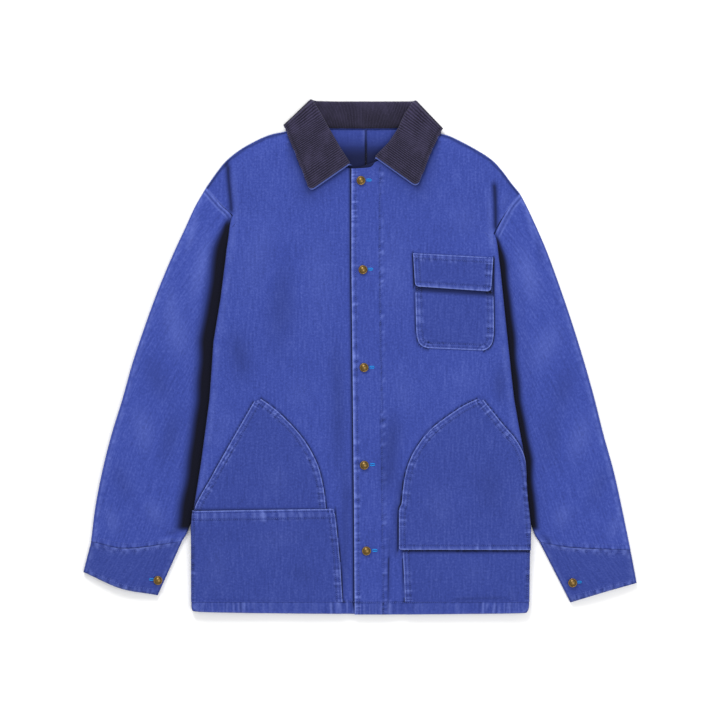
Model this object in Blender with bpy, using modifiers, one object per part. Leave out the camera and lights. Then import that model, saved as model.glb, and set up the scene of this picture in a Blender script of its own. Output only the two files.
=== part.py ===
"""Chore jacket, buttoned and laid flat on its back.

Every panel is a sheet worked out from its cut edges and a height rule, and given
its wall by a Solidify modifier.  Lengths in the tables are millimetres; the mesh is
in metres.  +X is the wearer's left, +Y points to the collar, +Z is up.
"""
import math

import bpy
import numpy as np

MM = 0.001
CENTRE_X = 0.8            # plan shift that puts the origin under the middle, mm
CENTRE_Y = -0.5

CLOTH = 1.3               # wall of the body cloth
SEAM_GAP = 0.35           # between the edges of two pieces sewn together
FLOOR = 0.65              # middle of a wall that lies on the ground
EDGE_ROLL = 4.0           # radius of the rolled side edge of the body
LAP_LIFT = 1.75           # rise of the buttoned front over the one beneath
SHOULDER_LIFT = 1.9       # front over back where they meet at the shoulder
POCKET_LIFT = 1.75        # rise of one patch over the cloth it is sewn on
POCKET_WALL = 1.1
COLLAR_ROLL = 3.0         # radius of the collar's outer layer at its roll line
COLLAR_WALL = 1.0
UNDER_COLLAR_STEP = 1.9   # between the two layers of the collar
COLLAR_REST = 1.85        # inner layer of the collar over the front it lies on
BACK_OVER_COLLAR = 3.55   # rise of the back panel over the collar's fall
OVER_COLLAR_Y = (262.0, 34.0)        # where that rise starts, and its run
OVER_COLLAR_X = (6.0, 158.0, 30.0)   # its middle, half width and run
SLEEVE_FLAT = 5.0         # part of the back that lies level over the sleeve's edge
SLEEVE_RAMP = 30.0        # run over which the back comes down again
PIT_RAMP = 18.0           # run over which it comes down under the armhole
CREST_SPREAD = 60.0       # reach of the raised side fold into the front
SHOULDER_SPREAD = 15.0    # reach of the shoulder seam into the front
LAP_START = 62.0          # where the left front starts to rise over the right
LAP_RUN = 26.0
LEAST_ROLL = 2.0          # least width given to the rolled and the tucked columns
FRONT_SPREAD = 1.35       # power that crowds the front's columns to its side
BACK_SPREAD = 1.9         # power that crowds the back's columns to its side
HEM_CORNER = 12           # power that keeps the hem's side shift to its corner
PIT_DROP = 22.0           # back edge: end of the side seam under the armhole
PIT_EASE = 4.0            # back edge: ease there, over the last PIT_REACH
PIT_REACH = 50.0
BELOW_PIT = 80.0
BACK_SEAM_X = 10.0
FRONT_COLUMNS = 9
ROLL_COLUMNS = 4
BACK_COLUMNS = 8
TUCK_COLUMNS = 2
SLEEVE_TOP = 8
SLEEVE_UNDER = 4
SLEEVE_ARC = 3
SLEEVE_ROWS = 15
BUTTON_STEPS = 16

# side fold of the body: up the body, fold line, crest of the fold, height of the
# cloth tucked beneath it, and how far that cloth runs back in to its seam
FOLD_COLUMNS = ("y", "x", "crest", "under", "tuck")
FOLD = {
    "right": (
        (-410.0, -259.6, 9.0, 1.4, 8.0),
        (-386.7, -259.6, 9.4, 1.4, 8.0),
        (-315.4, -259.6, 12.4, 4.4, 8.0),
        (-262.7, -259.6, 15.0, 7.0, 8.0),
        (-230.2, -255.0, 15.0, 7.0, 8.0),
        (-160.4, -244.1, 15.0, 7.0, 8.0),
        (-67.4, -231.7, 15.0, 7.0, 8.0),
        (-36.4, -229.4, 15.0, 7.0, 24.7),
        (-8.5, -227.5, 15.0, 7.0, 42.9),
        (22.5, -225.5, 15.0, 7.0, 51.8),
        (87.6, -214.7, 15.0, 7.0, 36.3),
        (146.5, -207.2, 15.0, 7.0, 21.1),
        (165.1, -205.1, 15.0, 7.0, 14.3),
        (188.3, -201.8, 12.0, 6.9, 0.0),
        (203.8, -200.4, 9.0, 6.9, 0.0),
        (217.8, -199.2, 6.8, 6.8, 0.0),
        (234.8, -217.8, 5.5, 5.5, 0.0),
        (261.2, -250.3, 3.0, 3.0, -8.4),
    ),
    "left": (
        (-410.0, 261.2, 9.0, 1.4, 8.0),
        (-386.7, 261.9, 9.4, 1.4, 8.0),
        (-315.4, 262.7, 12.4, 4.4, 8.0),
        (-265.8, 264.0, 15.0, 7.0, 8.0),
        (-222.4, 259.2, 15.0, 7.0, 8.0),
        (-160.4, 256.1, 15.0, 7.0, 8.0),
        (-113.9, 247.2, 15.0, 7.0, 8.0),
        (-67.4, 239.0, 15.0, 7.0, 8.0),
        (-36.4, 235.4, 15.0, 7.0, 24.5),
        (-8.5, 232.5, 15.0, 7.0, 41.7),
        (17.8, 229.6, 15.0, 7.0, 48.1),
        (81.4, 222.9, 15.0, 7.0, 36.8),
        (134.1, 217.5, 15.0, 7.0, 22.1),
        (146.5, 215.9, 15.0, 7.0, 15.8),
        (165.1, 213.9, 12.0, 6.9, 0.0),
        (179.0, 212.3, 9.0, 6.9, 0.0),
        (189.9, 210.8, 6.8, 6.8, 0.0),
        (208.5, 220.9, 5.8, 5.8, 0.0),
        (231.7, 236.4, 4.5, 4.5, 0.0),
        (251.9, 258.1, 3.0, 3.0, -5.3),
    ),
}
# heights up the side at which the body's rows are laid, hem to shoulder
BODY_ROWS = {
    "right": (-383.6, -335.0, -285.0, -235.0, -185.0, -135.0, -90.0, -45.0, -10.0, 20.0,
              55.0, 90.0, 120.0, 146.5, 165.1, 177.0, 188.3, 203.8, 217.8, 238.0, 261.2),
    "left": (-385.2, -335.0, -285.0, -235.0, -185.0, -135.0, -90.0, -45.0, -10.0, 18.0,
             50.0, 81.4, 108.0, 134.1, 146.5, 156.0, 165.1, 179.0, 189.9, 220.0, 251.9),
}
SIGN = {"right": -1.0, "left": 1.0}

# height of the front's middle up the body
REST_COLUMNS = ("y", "height")
REST = (
    (-410.0, 7.6),
    (-250.0, 8.0),
    (0.0, 8.6),
    (150.0, 9.4),
    (300.0, 9.8),
    (400.0, 9.8),
)

SHOULDER = {
    "right": ((-87.6, 362.0), (-111.0, 349.5), (-143.4, 341.6), (-179.0, 323.9),
              (-203.8, 305.4), (-219.3, 287.5), (-237.9, 261.2)),
    "left": ((90.7, 361.0), (121.0, 346.5), (140.7, 340.6), (174.4, 323.9),
             (203.8, 305.4), (220.9, 287.5), (234.8, 268.9), (248.8, 251.9)),
}
NECKLINE = {
    "right": ((25.6, 301.5), (-11.6, 291.4), (-39.5, 301.5), (-64.3, 324.7),
              (-78.3, 346.4), (-84.5, 357.0), (-87.6, 362.0)),
    "left": ((-12.4, 290.6), (16.3, 292.9), (25.6, 301.5), (50.4, 312.3),
             (69.0, 334.0), (81.4, 349.5), (87.6, 357.6), (90.7, 361.0)),
}
NECK_BACK = ((-87.6, 362.0), (-73.6, 356.5), (-50.4, 351.4), (10.1, 351.1),
             (62.8, 351.4), (79.8, 355.7), (90.7, 361.0))
HEM = {
    "right": ((25.6, -398.4), (-92.2, -397.6), (-185.2, -396.5), (-239.5, -394.9),
              (-251.9, -391.4), (-258.9, -383.6)),
    "left": ((-7.4, -399.1), (62.8, -399.1), (140.3, -398.4), (217.8, -397.6),
             (248.8, -396.3), (256.5, -392.9), (261.9, -385.2)),
}
FREE_EDGE = {
    "right": ((25.6, -398.4), (25.6, 301.5)),
    "left": ((-7.4, -399.1), (-8.5, -222.4), (-10.5, -36.4), (-12.4, 134.1),
             (-12.4, 290.6)),
}
ARMHOLE = {
    "right": ((-237.9, 261.2), (-217.8, 237.9), (-199.2, 217.8), (-191.4, 188.3),
              (-182.1, 146.5), (-174.4, 87.6), (-169.7, 22.5)),
    "left": ((248.8, 251.9), (232.3, 230.8), (210.8, 189.1), (202.3, 165.1),
             (194.5, 134.1), (182.1, 81.4), (177.5, 17.8)),
}
SLEEVE_OUTER = {
    "right": ((-237.9, 261.2), (-255.0, 231.7), (-272.0, 194.5), (-289.1, 157.3),
              (-312.3, 101.5), (-332.5, 45.7), (-351.1, -10.1), (-366.6, -65.9),
              (-383.6, -121.7), (-397.6, -177.5), (-408.4, -233.3),
              (-415.2, -287.5)),
    "left": ((248.8, 251.9), (259.6, 231.7), (276.7, 194.5), (292.2, 157.3),
             (312.3, 101.5), (330.9, 45.7), (348.0, -10.1), (363.5, -65.9),
             (377.4, -121.7), (392.9, -177.5), (405.3, -233.3), (419.0, -299.6)),
}
SLEEVE_INNER = {
    "right": ((-169.7, 22.5), (-191.4, -36.4), (-213.1, -106.2), (-239.5, -188.3),
              (-263.3, -262.7), (-275.9, -286.8)),
    "left": ((177.5, 17.8), (199.2, -41.1), (222.4, -110.8), (247.2, -193.0),
             (268.8, -267.4), (279.8, -287.5)),
}
CUFF_SEAM = {
    "right": ((-415.2, -287.5), (-360.4, -296.8), (-275.9, -286.8)),
    "left": ((419.0, -299.6), (327.2, -295.3), (279.8, -287.5)),
}
CUFF_HEM = {
    "right": ((-427.0, -334.0), (-369.7, -358.8), (-313.1, -369.7)),
    "left": ((428.6, -350.5), (377.4, -365.0), (327.2, -380.5)),
}
# sleeve down its length: height of the outer edge, of the crown and of the inner
TUBE_COLUMNS = ("down", "outer", "crown", "inner")
SLEEVE_HEIGHT = (
    (0.00, 3.2, 5.6, 5.35),
    (0.08, 5.2, 7.6, 5.35),
    (0.20, 7.4, 11.0, 5.35),
    (0.50, 7.8, 13.0, 5.35),
    (0.85, 7.8, 12.6, 5.6),
    (1.00, 7.4, 10.6, 6.2),
)
CUFF_HEIGHT = (
    (0.0, 7.6, 10.8, 6.4),
    (1.0, 7.2, 9.8, 6.6),
)

# collar round the neck from its wearer's right end to its left end:
# neck seam, roll line and outer edge in plan, the tilt of the roll (90 is folded
# over the front, -90 is folded beneath the back), height of the roll's axis
COLLAR_COLUMNS = ("neck_x", "neck_y", "roll_x", "roll_y", "outer_x", "outer_y",
                  "tilt", "axis")
COLLAR = (
    (-14.8, 294.4, -14.8, 299.4, -77.3, 256.1, 90.0, 12.6),
    (-37.6, 304.4, -31.0, 324.7, -88.4, 286.0, 90.0, 12.2),
    (-64.3, 325.2, -46.2, 351.1, -100.8, 317.0, 88.0, 12.0),
    (-77.8, 346.8, -58.0, 373.0, -109.6, 339.1, 84.0, 12.0),
    (-85.0, 359.6, -69.6, 392.0, -115.4, 354.0, 55.0, 11.1),
    (-86.6, 361.8, -73.0, 397.0, -117.8, 358.0, 0.0, 7.4),
    (-83.6, 360.6, -71.4, 396.2, -113.4, 355.0, -55.0, 4.2),
    (-78.0, 358.4, -66.0, 395.2, -109.6, 351.2, -86.0, 3.6),
    (-45.7, 352.2, -36.4, 394.5, -61.2, 333.2, -90.0, 3.56),
    (5.4, 351.9, 5.0, 394.5, 3.0, 330.9, -90.0, 3.56),
    (53.5, 352.2, 43.1, 394.5, 70.5, 332.5, -90.0, 3.56),
    (82.0, 358.0, 76.0, 394.6, 118.6, 345.8, -86.0, 3.6),
    (86.8, 360.0, 83.0, 394.8, 124.4, 350.0, -55.0, 4.2),
    (89.8, 361.4, 85.2, 395.4, 129.2, 353.0, 0.0, 7.4),
    (88.2, 359.0, 81.0, 391.5, 126.8, 348.6, 55.0, 11.1),
    (81.0, 350.0, 70.4, 376.2, 121.4, 338.0, 84.0, 12.0),
    (69.0, 334.6, 58.9, 351.1, 112.4, 320.1, 88.0, 12.0),
    (48.4, 315.6, 45.5, 331.0, 101.5, 292.2, 90.0, 12.2),
    (25.6, 302.4, 24.4, 309.4, 89.9, 262.7, 90.0, 12.6),
)
COLLAR_LENGTHWISE = 36
COLLAR_STAND = 2
NECK_CLEAR_FRONT = 3.4
NECK_CLEAR_BACK = 0.9
WRAP_HEIGHT = 7.2        # where the collar's edge passes round the shoulder
COLLAR_BEND = 4
COLLAR_FALL = 4

# patches: layer at the top and at the foot, the height between which it changes,
# two side edges from top to bottom, and the columns and rows of the mesh
PATCHES = (
    ("chest_pocket", "left", (1, 1, 0.0, 1.0),
     ((86.0, 150.0), (86.6, 100.0), (87.6, 50.0), (90.5, 26.0), (105.9, 14.0)),
     ((206.4, 150.0), (206.9, 100.0), (207.4, 50.0), (205.5, 24.0), (191.4, 9.5)),
     6, 6),
    ("chest_flap", "left", (2, 2, 0.0, 1.0),
     ((82.8, 159.7), (84.4, 134.0), (86.0, 108.5)),
     ((206.5, 152.7), (205.0, 128.0), (203.2, 100.3)),
     6, 3),
    ("arched_pocket", "right", (1, 1, 0.0, 1.0),
     ((-166.6, -79.0), (-208.5, -149.6), (-230.2, -188.7), (-246.0, -220.6),
      (-247.0, -252.0)),
     ((-151.1, -69.0), (-96.0, -124.0), (-66.0, -168.0), (-54.0, -226.0),
      (-51.0, -252.0)),
     6, 7),
    ("patch_pocket_right", "right", (2, 1, -268.0, -292.0),
     ((-249.5, -238.9), (-252.5, -310.0), (-252.5, -391.0)),
     ((-38.8, -234.8), (-30.8, -311.6), (-25.1, -395.4)),
     8, 6),
    ("patch_pocket_left", "left", (1, 1, 0.0, 1.0),
     ((66.2, -284.4), (69.4, -350.0), (70.4, -395.5)),
     ((255.5, -284.4), (255.8, -350.0), (254.8, -391.0)),
     8, 5),
    ("arched_flap", "left", (1, 2, -200.0, -240.0),
     ((178.6, -71.1), (127.9, -98.4), (84.0, -146.0), (65.3, -226.1),
      (61.2, -299.6)),
     ((193.0, -71.3), (232.0, -116.0), (248.0, -160.0), (252.0, -226.0),
      (255.5, -299.6)),
     8, 8),
)

# front buttons: place; cuff buttons: place and height of the back of the button
BUTTONS = (
    ("front_button_1", 2.3, 272.0),
    ("front_button_2", 5.4, 134.1),
    ("front_button_3", 7.0, -17.1),
    ("front_button_4", 7.4, -168.2),
    ("front_button_5", 10.8, -300.7),
)
CUFF_BUTTONS = (
    ("cuff_button_right", -311.7, -346.4, 9.75),
    ("cuff_button_left", 329.7, -350.1, 10.7),
)
# the turned button, from its rim to its middle: radius and height over its back
BUTTON_PROFILE = ((7.0, 0.8), (6.8, 1.5), (6.0, 2.0), (5.2, 1.7), (4.6, 1.75),
                  (3.2, 2.9), (1.6, 3.5), (0.0, 3.7))
BUTTON_BACK = ((0.0, -1.2), (2.2, -1.2), (2.2, 0.0), (6.4, 0.0))
BUTTON_SHANK = 1.2


# ---------------------------------------------------------------- small tools
def ease(value):
    """Smooth step: 3t^2 - 2t^3 of the value held between 0 and 1."""
    t = np.clip(value, 0.0, 1.0)
    return t * t * (3.0 - 2.0 * t)


def column(table, names, key, wanted, at):
    """Read one named column of a table at the given key values."""
    rows = np.array(table, dtype=float)
    keys = rows[:, names.index(key)]
    return np.interp(at, keys, rows[:, names.index(wanted)])


def walk(points, share):
    """Points along a polyline at the given shares of its length."""
    line = np.array(points, dtype=float)
    steps = np.hypot(*np.diff(line, axis=0).T)
    run = np.concatenate(([0.0], np.cumsum(steps))) / steps.sum()
    return np.stack([np.interp(share, run, line[:, k]) for k in (0, 1)], axis=-1)


def distance_to(points, x, y):
    """Shortest plan distance from each (x, y) to a polyline."""
    line = np.array(points, dtype=float)
    best = np.full(np.shape(x), 1e9)
    for a, b in zip(line[:-1], line[1:]):
        along = b - a
        t = ((x - a[0]) * along[0] + (y - a[1]) * along[1]) / (along @ along)
        t = np.clip(t, 0.0, 1.0)
        gap = np.hypot(x - a[0] - t * along[0], y - a[1] - t * along[1])
        best = np.minimum(best, gap)
    return best


def patch(bottom, top, left, right, u, v):
    """Blend four edges into a sheet: the Coons rule."""
    u = u[..., None]
    v = v[..., None]
    corners = ((1 - u) * (1 - v) * bottom[0, 0] + u * (1 - v) * bottom[0, -1]
               + (1 - u) * v * top[-1, 0] + u * v * top[-1, -1])
    return (1 - v) * bottom + v * top + (1 - u) * left + u * right - corners


# ---------------------------------------------------------------- body heights
def fold_at(side, y, wanted):
    return column(FOLD[side], FOLD_COLUMNS, "y", wanted, y)


def turn_at(side, y):
    """Angle through which the cloth has rolled at the side edge."""
    drop = (fold_at(side, y, "crest") - fold_at(side, y, "under")) / EDGE_ROLL
    return np.arccos(np.clip(1.0 - drop, -1.0, 1.0))


def back_height(x, y):
    """Back panel: flat on the ground, raised over the sleeves and the collar."""
    height = np.full(np.shape(x), FLOOR)
    for side in ("right", "left"):
        sign = SIGN[side]
        seam = fold_at(side, y, "x") - sign * (EDGE_ROLL + fold_at(side, y, "tuck"))
        inner = np.array(SLEEVE_INNER[side])[::-1]
        sleeve = np.interp(y, inner[:, 1], inner[:, 0])
        plateau = np.maximum(0.0, sign * (seam - sleeve)) + SLEEVE_FLAT
        inward = sign * (seam - x)
        pit = SLEEVE_INNER[side][0][1]
        lift = (fold_at(side, y, "under") - FLOOR) * ease((pit + 1.0 - y) / PIT_RAMP)
        rise = lift * ease(1.0 - (inward - plateau) / SLEEVE_RAMP)
        height = np.maximum(height, FLOOR + rise)
    start_y, run_y = OVER_COLLAR_Y
    middle_x, half, run_x = OVER_COLLAR_X
    share = ease((y - start_y) / run_y) * ease((half - np.abs(x - middle_x)) / run_x)
    return height + BACK_OVER_COLLAR * share


def front_height(side, x, y):
    """Front panel over its own side: crest at the fold, easing to the middle."""
    sign = SIGN[side]
    inset = fold_at(side, y, "x") - sign * EDGE_ROLL
    inward = np.maximum(0.0, sign * (inset - x))
    middle = column(REST, REST_COLUMNS, "y", "height", y)
    height = middle + (fold_at(side, y, "crest") - middle) * np.exp(-(inward / CREST_SPREAD) ** 2)
    near = np.exp(-(distance_to(SHOULDER[side], x, y) / SHOULDER_SPREAD) ** 2)
    height = height * (1 - near) + (back_height(x, y) + SHOULDER_LIFT) * near
    if side == "left":
        height = height + LAP_LIFT * ease((LAP_START - x) / LAP_RUN)
    return height


def front_point(side, across, y, lift=0.0):
    """Point of the front at a spot measured on the cloth, rolled at the side."""
    sign = SIGN[side]
    inset = fold_at(side, y, "x") - sign * EDGE_ROLL
    past = sign * (across - inset)
    edge_height = front_height(side, inset, y)
    radius = EDGE_ROLL + lift
    most = turn_at(side, y)
    angle = np.clip(past / EDGE_ROLL, 0.0, most)
    tucked = np.maximum(0.0, past - most * EDGE_ROLL)
    on_top = past <= 0.0
    x = np.where(on_top, across, inset + sign * (radius * np.sin(angle) - tucked))
    z = np.where(on_top, front_height(side, across, y) + lift,
                 edge_height - EDGE_ROLL + radius * np.cos(angle))
    return np.stack([x, y, z], axis=-1)


def side_seam(side, v):
    """Side edge of the front, on the flat cloth, from the hem to the shoulder."""
    sign = SIGN[side]
    hem_y = HEM[side][-1][1]
    top_y = ARMHOLE[side][0][1]
    y = hem_y + (top_y - hem_y) * v
    inset = fold_at(side, y, "x") - sign * EDGE_ROLL
    past = EDGE_ROLL * turn_at(side, y) + fold_at(side, y, "tuck")
    return np.stack([inset + sign * past, y], axis=-1)


# ---------------------------------------------------------------- mesh building
def sheet_object(name, points, wall, collection, closed=False):
    """Make an object of a grid of points in mm and give it its wall."""
    rows, columns = points.shape[:2]
    flat = points.reshape(-1, 3).copy()
    flat[:, 0] -= CENTRE_X
    flat[:, 1] -= CENTRE_Y
    index = np.arange(rows * columns).reshape(rows, columns)
    if closed:
        index = np.concatenate([index, index[:, :1]], axis=1)
    quads = np.stack([index[:-1, :-1], index[:-1, 1:], index[1:, 1:], index[1:, :-1]],
                     axis=-1).reshape(-1, 4)
    mesh = bpy.data.meshes.new(name)
    mesh.from_pydata((flat * MM).tolist(), [], quads.tolist())
    mesh.update()
    made = bpy.data.objects.new(name, mesh)
    collection.objects.link(made)
    shell = made.modifiers.new("wall", 'SOLIDIFY')
    shell.thickness = wall * MM
    shell.offset = 0.0
    return made


def paint(made, material):
    made.data.materials.append(material)
    made.data.shade_smooth()


def material(name, colour, roughness, metallic=0.0):
    made = bpy.data.materials.new(name)
    made.use_nodes = True
    shader = made.node_tree.nodes["Principled BSDF"]
    shader.inputs["Base Color"].default_value = colour + (1.0,)
    shader.inputs["Roughness"].default_value = roughness
    shader.inputs["Metallic"].default_value = metallic
    made.diffuse_color = colour + (1.0,)
    return made


# ---------------------------------------------------------------- the pieces
def row_shares(side):
    """Rows of the body as shares of its height at the side."""
    rows = np.array(BODY_ROWS[side])
    return (rows - rows[0]) / (rows[-1] - rows[0])


def front(side):
    """Front panel: neckline, shoulder, rolled side, hem and free edge."""
    v = row_shares(side)
    seam = side_seam(side, v)
    free = walk(FREE_EDGE[side], v)
    width = np.abs(seam[:, 0] - free[:, 0])
    past = SIGN[side] * (seam[:, 0]
                         - (fold_at(side, seam[:, 1], "x") - SIGN[side] * EDGE_ROLL))
    rolled = np.maximum(turn_at(side, seam[:, 1]) * EDGE_ROLL, LEAST_ROLL)
    rolled = np.clip(past, LEAST_ROLL, rolled)
    tucked = np.maximum(past - rolled, LEAST_ROLL)
    u1 = 1.0 - (rolled + tucked) / width
    u2 = 1.0 - tucked / width
    columns = []
    for k in range(FRONT_COLUMNS):
        columns.append(u1 * (1.0 - (1.0 - k / FRONT_COLUMNS) ** FRONT_SPREAD))
    for k in range(ROLL_COLUMNS):
        columns.append(u1 + (u2 - u1) * k / ROLL_COLUMNS)
    for k in range(TUCK_COLUMNS + 1):
        columns.append(u2 + (1.0 - u2) * k / TUCK_COLUMNS)
    u = np.stack(columns, axis=1)
    v = np.repeat(v[:, None], u.shape[1], axis=1)
    hem = walk(HEM[side], u)
    hem[..., 0] += (seam[0, 0] - HEM[side][-1][0]) * u ** HEM_CORNER
    neck = np.array(NECKLINE[side])
    top_line = np.concatenate([neck, np.array(SHOULDER[side])[1:]])
    top = walk(top_line, u)
    left = np.repeat(free[:, None, :], u.shape[1], axis=1)
    right = np.repeat(seam[:, None, :], u.shape[1], axis=1)
    plan = patch(hem, top, left, right, u, v)
    return front_point(side, plan[..., 0], plan[..., 1])


def back(side):
    """Half of the back: centre seam, neck, shoulder, armhole, side seam and hem."""
    sign = SIGN[side]
    v = row_shares(side)
    pit_x, pit_y = ARMHOLE[side][-1]
    hem_y = HEM[side][-1][1]
    seam_y = np.linspace(hem_y, pit_y - PIT_DROP, 11)
    seam_x = fold_at(side, seam_y, "x") - sign * (EDGE_ROLL + 2 * SEAM_GAP
                                                   + fold_at(side, seam_y, "tuck")
                                                   + PIT_EASE * ease((seam_y + BELOW_PIT) / PIT_REACH))
    lower = list(zip(seam_x, seam_y))
    lower.append((pit_x - sign * 6.0, pit_y - 8.0))
    hole = [(x - sign * 3 * SEAM_GAP, y - SEAM_GAP) for x, y in ARMHOLE[side][::-1]]
    hole[0] = (pit_x - sign * 1.6, pit_y + 3.0)
    edge = np.array(lower + hole)
    rows_y = hem_y + (ARMHOLE[side][0][1] - hem_y) * v
    outer = np.stack([np.interp(rows_y, edge[:, 1], edge[:, 0]), rows_y], axis=-1)
    seam_side = BACK_SEAM_X + sign * SEAM_GAP / 2
    neck_y = NECK_BACK[3][1] - 0.4
    centre = np.stack([np.full_like(v, seam_side),
                       HEM["right"][0][1] + (neck_y - HEM["right"][0][1]) * v], axis=-1)
    columns = BACK_COLUMNS
    spread = 1.0 - np.linspace(1.0, 0.0, columns + 1) ** BACK_SPREAD
    u = np.repeat(spread[None, :], len(v), axis=0)
    v = np.repeat(v[:, None], columns + 1, axis=1)
    hem = walk([(seam_side, HEM["right"][0][1])] + [tuple(edge[0])], u)
    neck = [p for p in NECK_BACK if sign * (p[0] - BACK_SEAM_X) > 1.0]
    neck = sorted(neck, key=lambda p: sign * p[0])
    line = [(seam_side, neck_y)] + [(x, y - 0.4) for x, y in neck]
    line += [(x, y - 0.4) for x, y in SHOULDER[side][1:]]
    line[-1] = tuple(edge[-1])
    top = walk(line, u)
    left = np.repeat(centre[:, None, :], columns + 1, axis=1)
    right = np.repeat(outer[:, None, :], columns + 1, axis=1)
    plan = patch(hem, top, left, right, u, v)
    x, y = plan[..., 0], plan[..., 1]
    return np.stack([x, y, back_height(x, y)], axis=-1)


def tube(side, upper, lower, outer, inner, heights, rows, start=0.0, end=0.0):
    """Flattened tube between an upper and a lower opening line."""
    sign = SIGN[side]
    v = np.linspace(0.0, 1.0, rows + 1)
    outer_z = column(heights, TUBE_COLUMNS, "down", "outer", v)
    crown_z = column(heights, TUBE_COLUMNS, "down", "crown", v)
    inner_z = column(heights, TUBE_COLUMNS, "down", "inner", v)
    outer_r = (outer_z - FLOOR) / 2
    inner_r = (inner_z - FLOOR) / 2
    u = np.repeat(np.linspace(0.0, 1.0, SLEEVE_TOP + 1)[None, :], rows + 1, axis=0)
    vv = np.repeat(v[:, None], SLEEVE_TOP + 1, axis=1)
    out_line = walk(outer, v)
    in_line = walk(inner, v)
    left = np.repeat(out_line[:, None, :], SLEEVE_TOP + 1, axis=1)
    right = np.repeat(in_line[:, None, :], SLEEVE_TOP + 1, axis=1)
    plan = patch(walk(upper, u), walk(lower, u), left, right, u, vv)
    span = plan[:, -1] - plan[:, 0]
    unit = span / np.hypot(*span.T)[:, None]
    inset_u = u[..., None]
    plan = plan + unit[:, None, :] * (outer_r[:, None, None] * (1 - inset_u)
                                      - inner_r[:, None, None] * inset_u)
    fall = np.stack([-unit[:, 1], unit[:, 0]], axis=-1)
    fall = fall * np.sign(-fall[:, 1:2])
    plan = plan + fall[:, None, :] * (start * (1 - vv) - end * vv)[..., None]
    bulge = (4 * u * (1 - u)) ** 0.8
    base = outer_z[:, None] * (1 - u) + inner_z[:, None] * u
    mean = (outer_z + inner_z)[:, None] / 2
    z = base + (crown_z[:, None] - mean) * bulge
    fold_x = fold_at(side, plan[..., 1], "x")
    beyond = sign * (plan[..., 0] - fold_x)
    below_body = (plan[..., 1] > -262.0) & (plan[..., 1] < 236.0)
    low = inner_z[:, None] + 10.0 * ease((beyond - 2.0) / 44.0)
    z = np.where(below_body, np.minimum(z, low), z)
    top = np.concatenate([plan, z[..., None]], axis=-1)
    parts = [top]
    turn = np.linspace(0.0, math.pi, SLEEVE_ARC + 1)[1:]
    arc = [np.stack([top[:, -1, 0] + unit[:, 0] * inner_r * math.sin(a),
                     top[:, -1, 1] + unit[:, 1] * inner_r * math.sin(a),
                     FLOOR + inner_r * (1 + math.cos(a))], axis=-1) for a in turn]
    parts.append(np.stack(arc, axis=1))
    share = np.linspace(1.0, 0.0, SLEEVE_UNDER + 1)[1:]
    under = np.stack([np.concatenate(
        [walk_row(plan, s), np.full((rows + 1, 1), FLOOR)], axis=-1)
        for s in share], axis=1)
    parts.append(under)
    start_z = top[:, 0, 2]
    radius = (start_z - FLOOR) / 2
    arc = [np.stack([top[:, 0, 0] - unit[:, 0] * radius * math.sin(a),
                     top[:, 0, 1] - unit[:, 1] * radius * math.sin(a),
                     FLOOR + radius * (1 - math.cos(a))], axis=-1) for a in turn[:-1]]
    parts.append(np.stack(arc, axis=1))
    return np.concatenate(parts, axis=1)


def walk_row(plan, share):
    """Plan point of every row at one share of its width."""
    last = plan.shape[1] - 1
    place = share * last
    low = int(min(math.floor(place), last - 1))
    part = place - low
    return plan[:, low] * (1 - part) + plan[:, low + 1] * part


def collar(layer):
    """Collar layer 0 is the outer one, 1 the one inside the fold."""
    rows = np.array(COLLAR)
    keys = np.arange(len(rows))
    t = np.linspace(0.0, len(rows) - 1, COLLAR_LENGTHWISE + 1)
    read = {n: np.interp(t, keys, rows[:, k]) for k, n in enumerate(COLLAR_COLUMNS)}
    neck = np.stack([read["neck_x"], read["neck_y"]], axis=-1)
    roll = np.stack([read["roll_x"], read["roll_y"]], axis=-1)
    outer = np.stack([read["outer_x"], read["outer_y"]], axis=-1)
    radius = COLLAR_ROLL - layer * UNDER_COLLAR_STEP
    step = layer * UNDER_COLLAR_STEP
    away = roll - (neck * 0.5 + outer * 0.5)
    away /= np.hypot(*away.T)[:, None]
    tilt = np.radians(read["tilt"])
    sideways = outer - roll
    cross = away[:, :1] * sideways[:, 1:] - away[:, 1:] * sideways[:, :1]
    side = np.stack([-away[:, 1], away[:, 0]], axis=-1) * np.sign(cross)
    flat = np.cos(tilt)[:, None] * side
    up = np.concatenate([flat, np.sin(tilt)[:, None]], axis=-1)
    out = np.concatenate([away, np.zeros((len(t), 1))], axis=-1)
    centre = np.concatenate([roll - away * COLLAR_ROLL, read["axis"][:, None]], axis=-1)
    lines = []
    stand_end = centre - up * radius
    fall_start = centre + up * radius
    clear = np.where(tilt > 1.0, NECK_CLEAR_FRONT, NECK_CLEAR_BACK)[:, None]
    neck = neck + away * clear + flat * step
    outer = outer - flat * step
    neck_point = np.concatenate([neck, stand_end[:, 2:]], axis=-1)
    for k in range(COLLAR_STAND):
        s = k / COLLAR_STAND
        lines.append(neck_point * (1 - s) + stand_end * s)
    for k in range(COLLAR_BEND):
        a = math.pi * k / COLLAR_BEND
        lines.append(centre - up * radius * math.cos(a) + out * radius * math.sin(a))
    weight = np.sin(tilt)
    for k in range(COLLAR_FALL + 1):
        s = k / COLLAR_FALL
        plan = fall_start[:, :2] * (1 - s) + outer * s
        x, y = plan[:, 0], plan[:, 1]
        level = fall_start[:, 2]
        rest_front = np.where(x < 6.0, front_height("right", x, y),
                              front_height("left", x, y))
        rest_front = rest_front + COLLAR_REST + UNDER_COLLAR_STEP - step
        top_z = level * (1 - s) + rest_front * s
        top_z = np.maximum(top_z, rest_front)
        middle = WRAP_HEIGHT - weight * step
        beneath = middle * (1 + weight) - level * weight
        above = rest_front * weight + middle * (1 - weight)
        z = np.where(weight > 0.97, top_z,
                     level * (1 - s) + np.where(weight > 0, above, beneath) * s)
        lines.append(np.concatenate([plan, z[:, None]], axis=-1))
    return np.stack(lines, axis=1)


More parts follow.
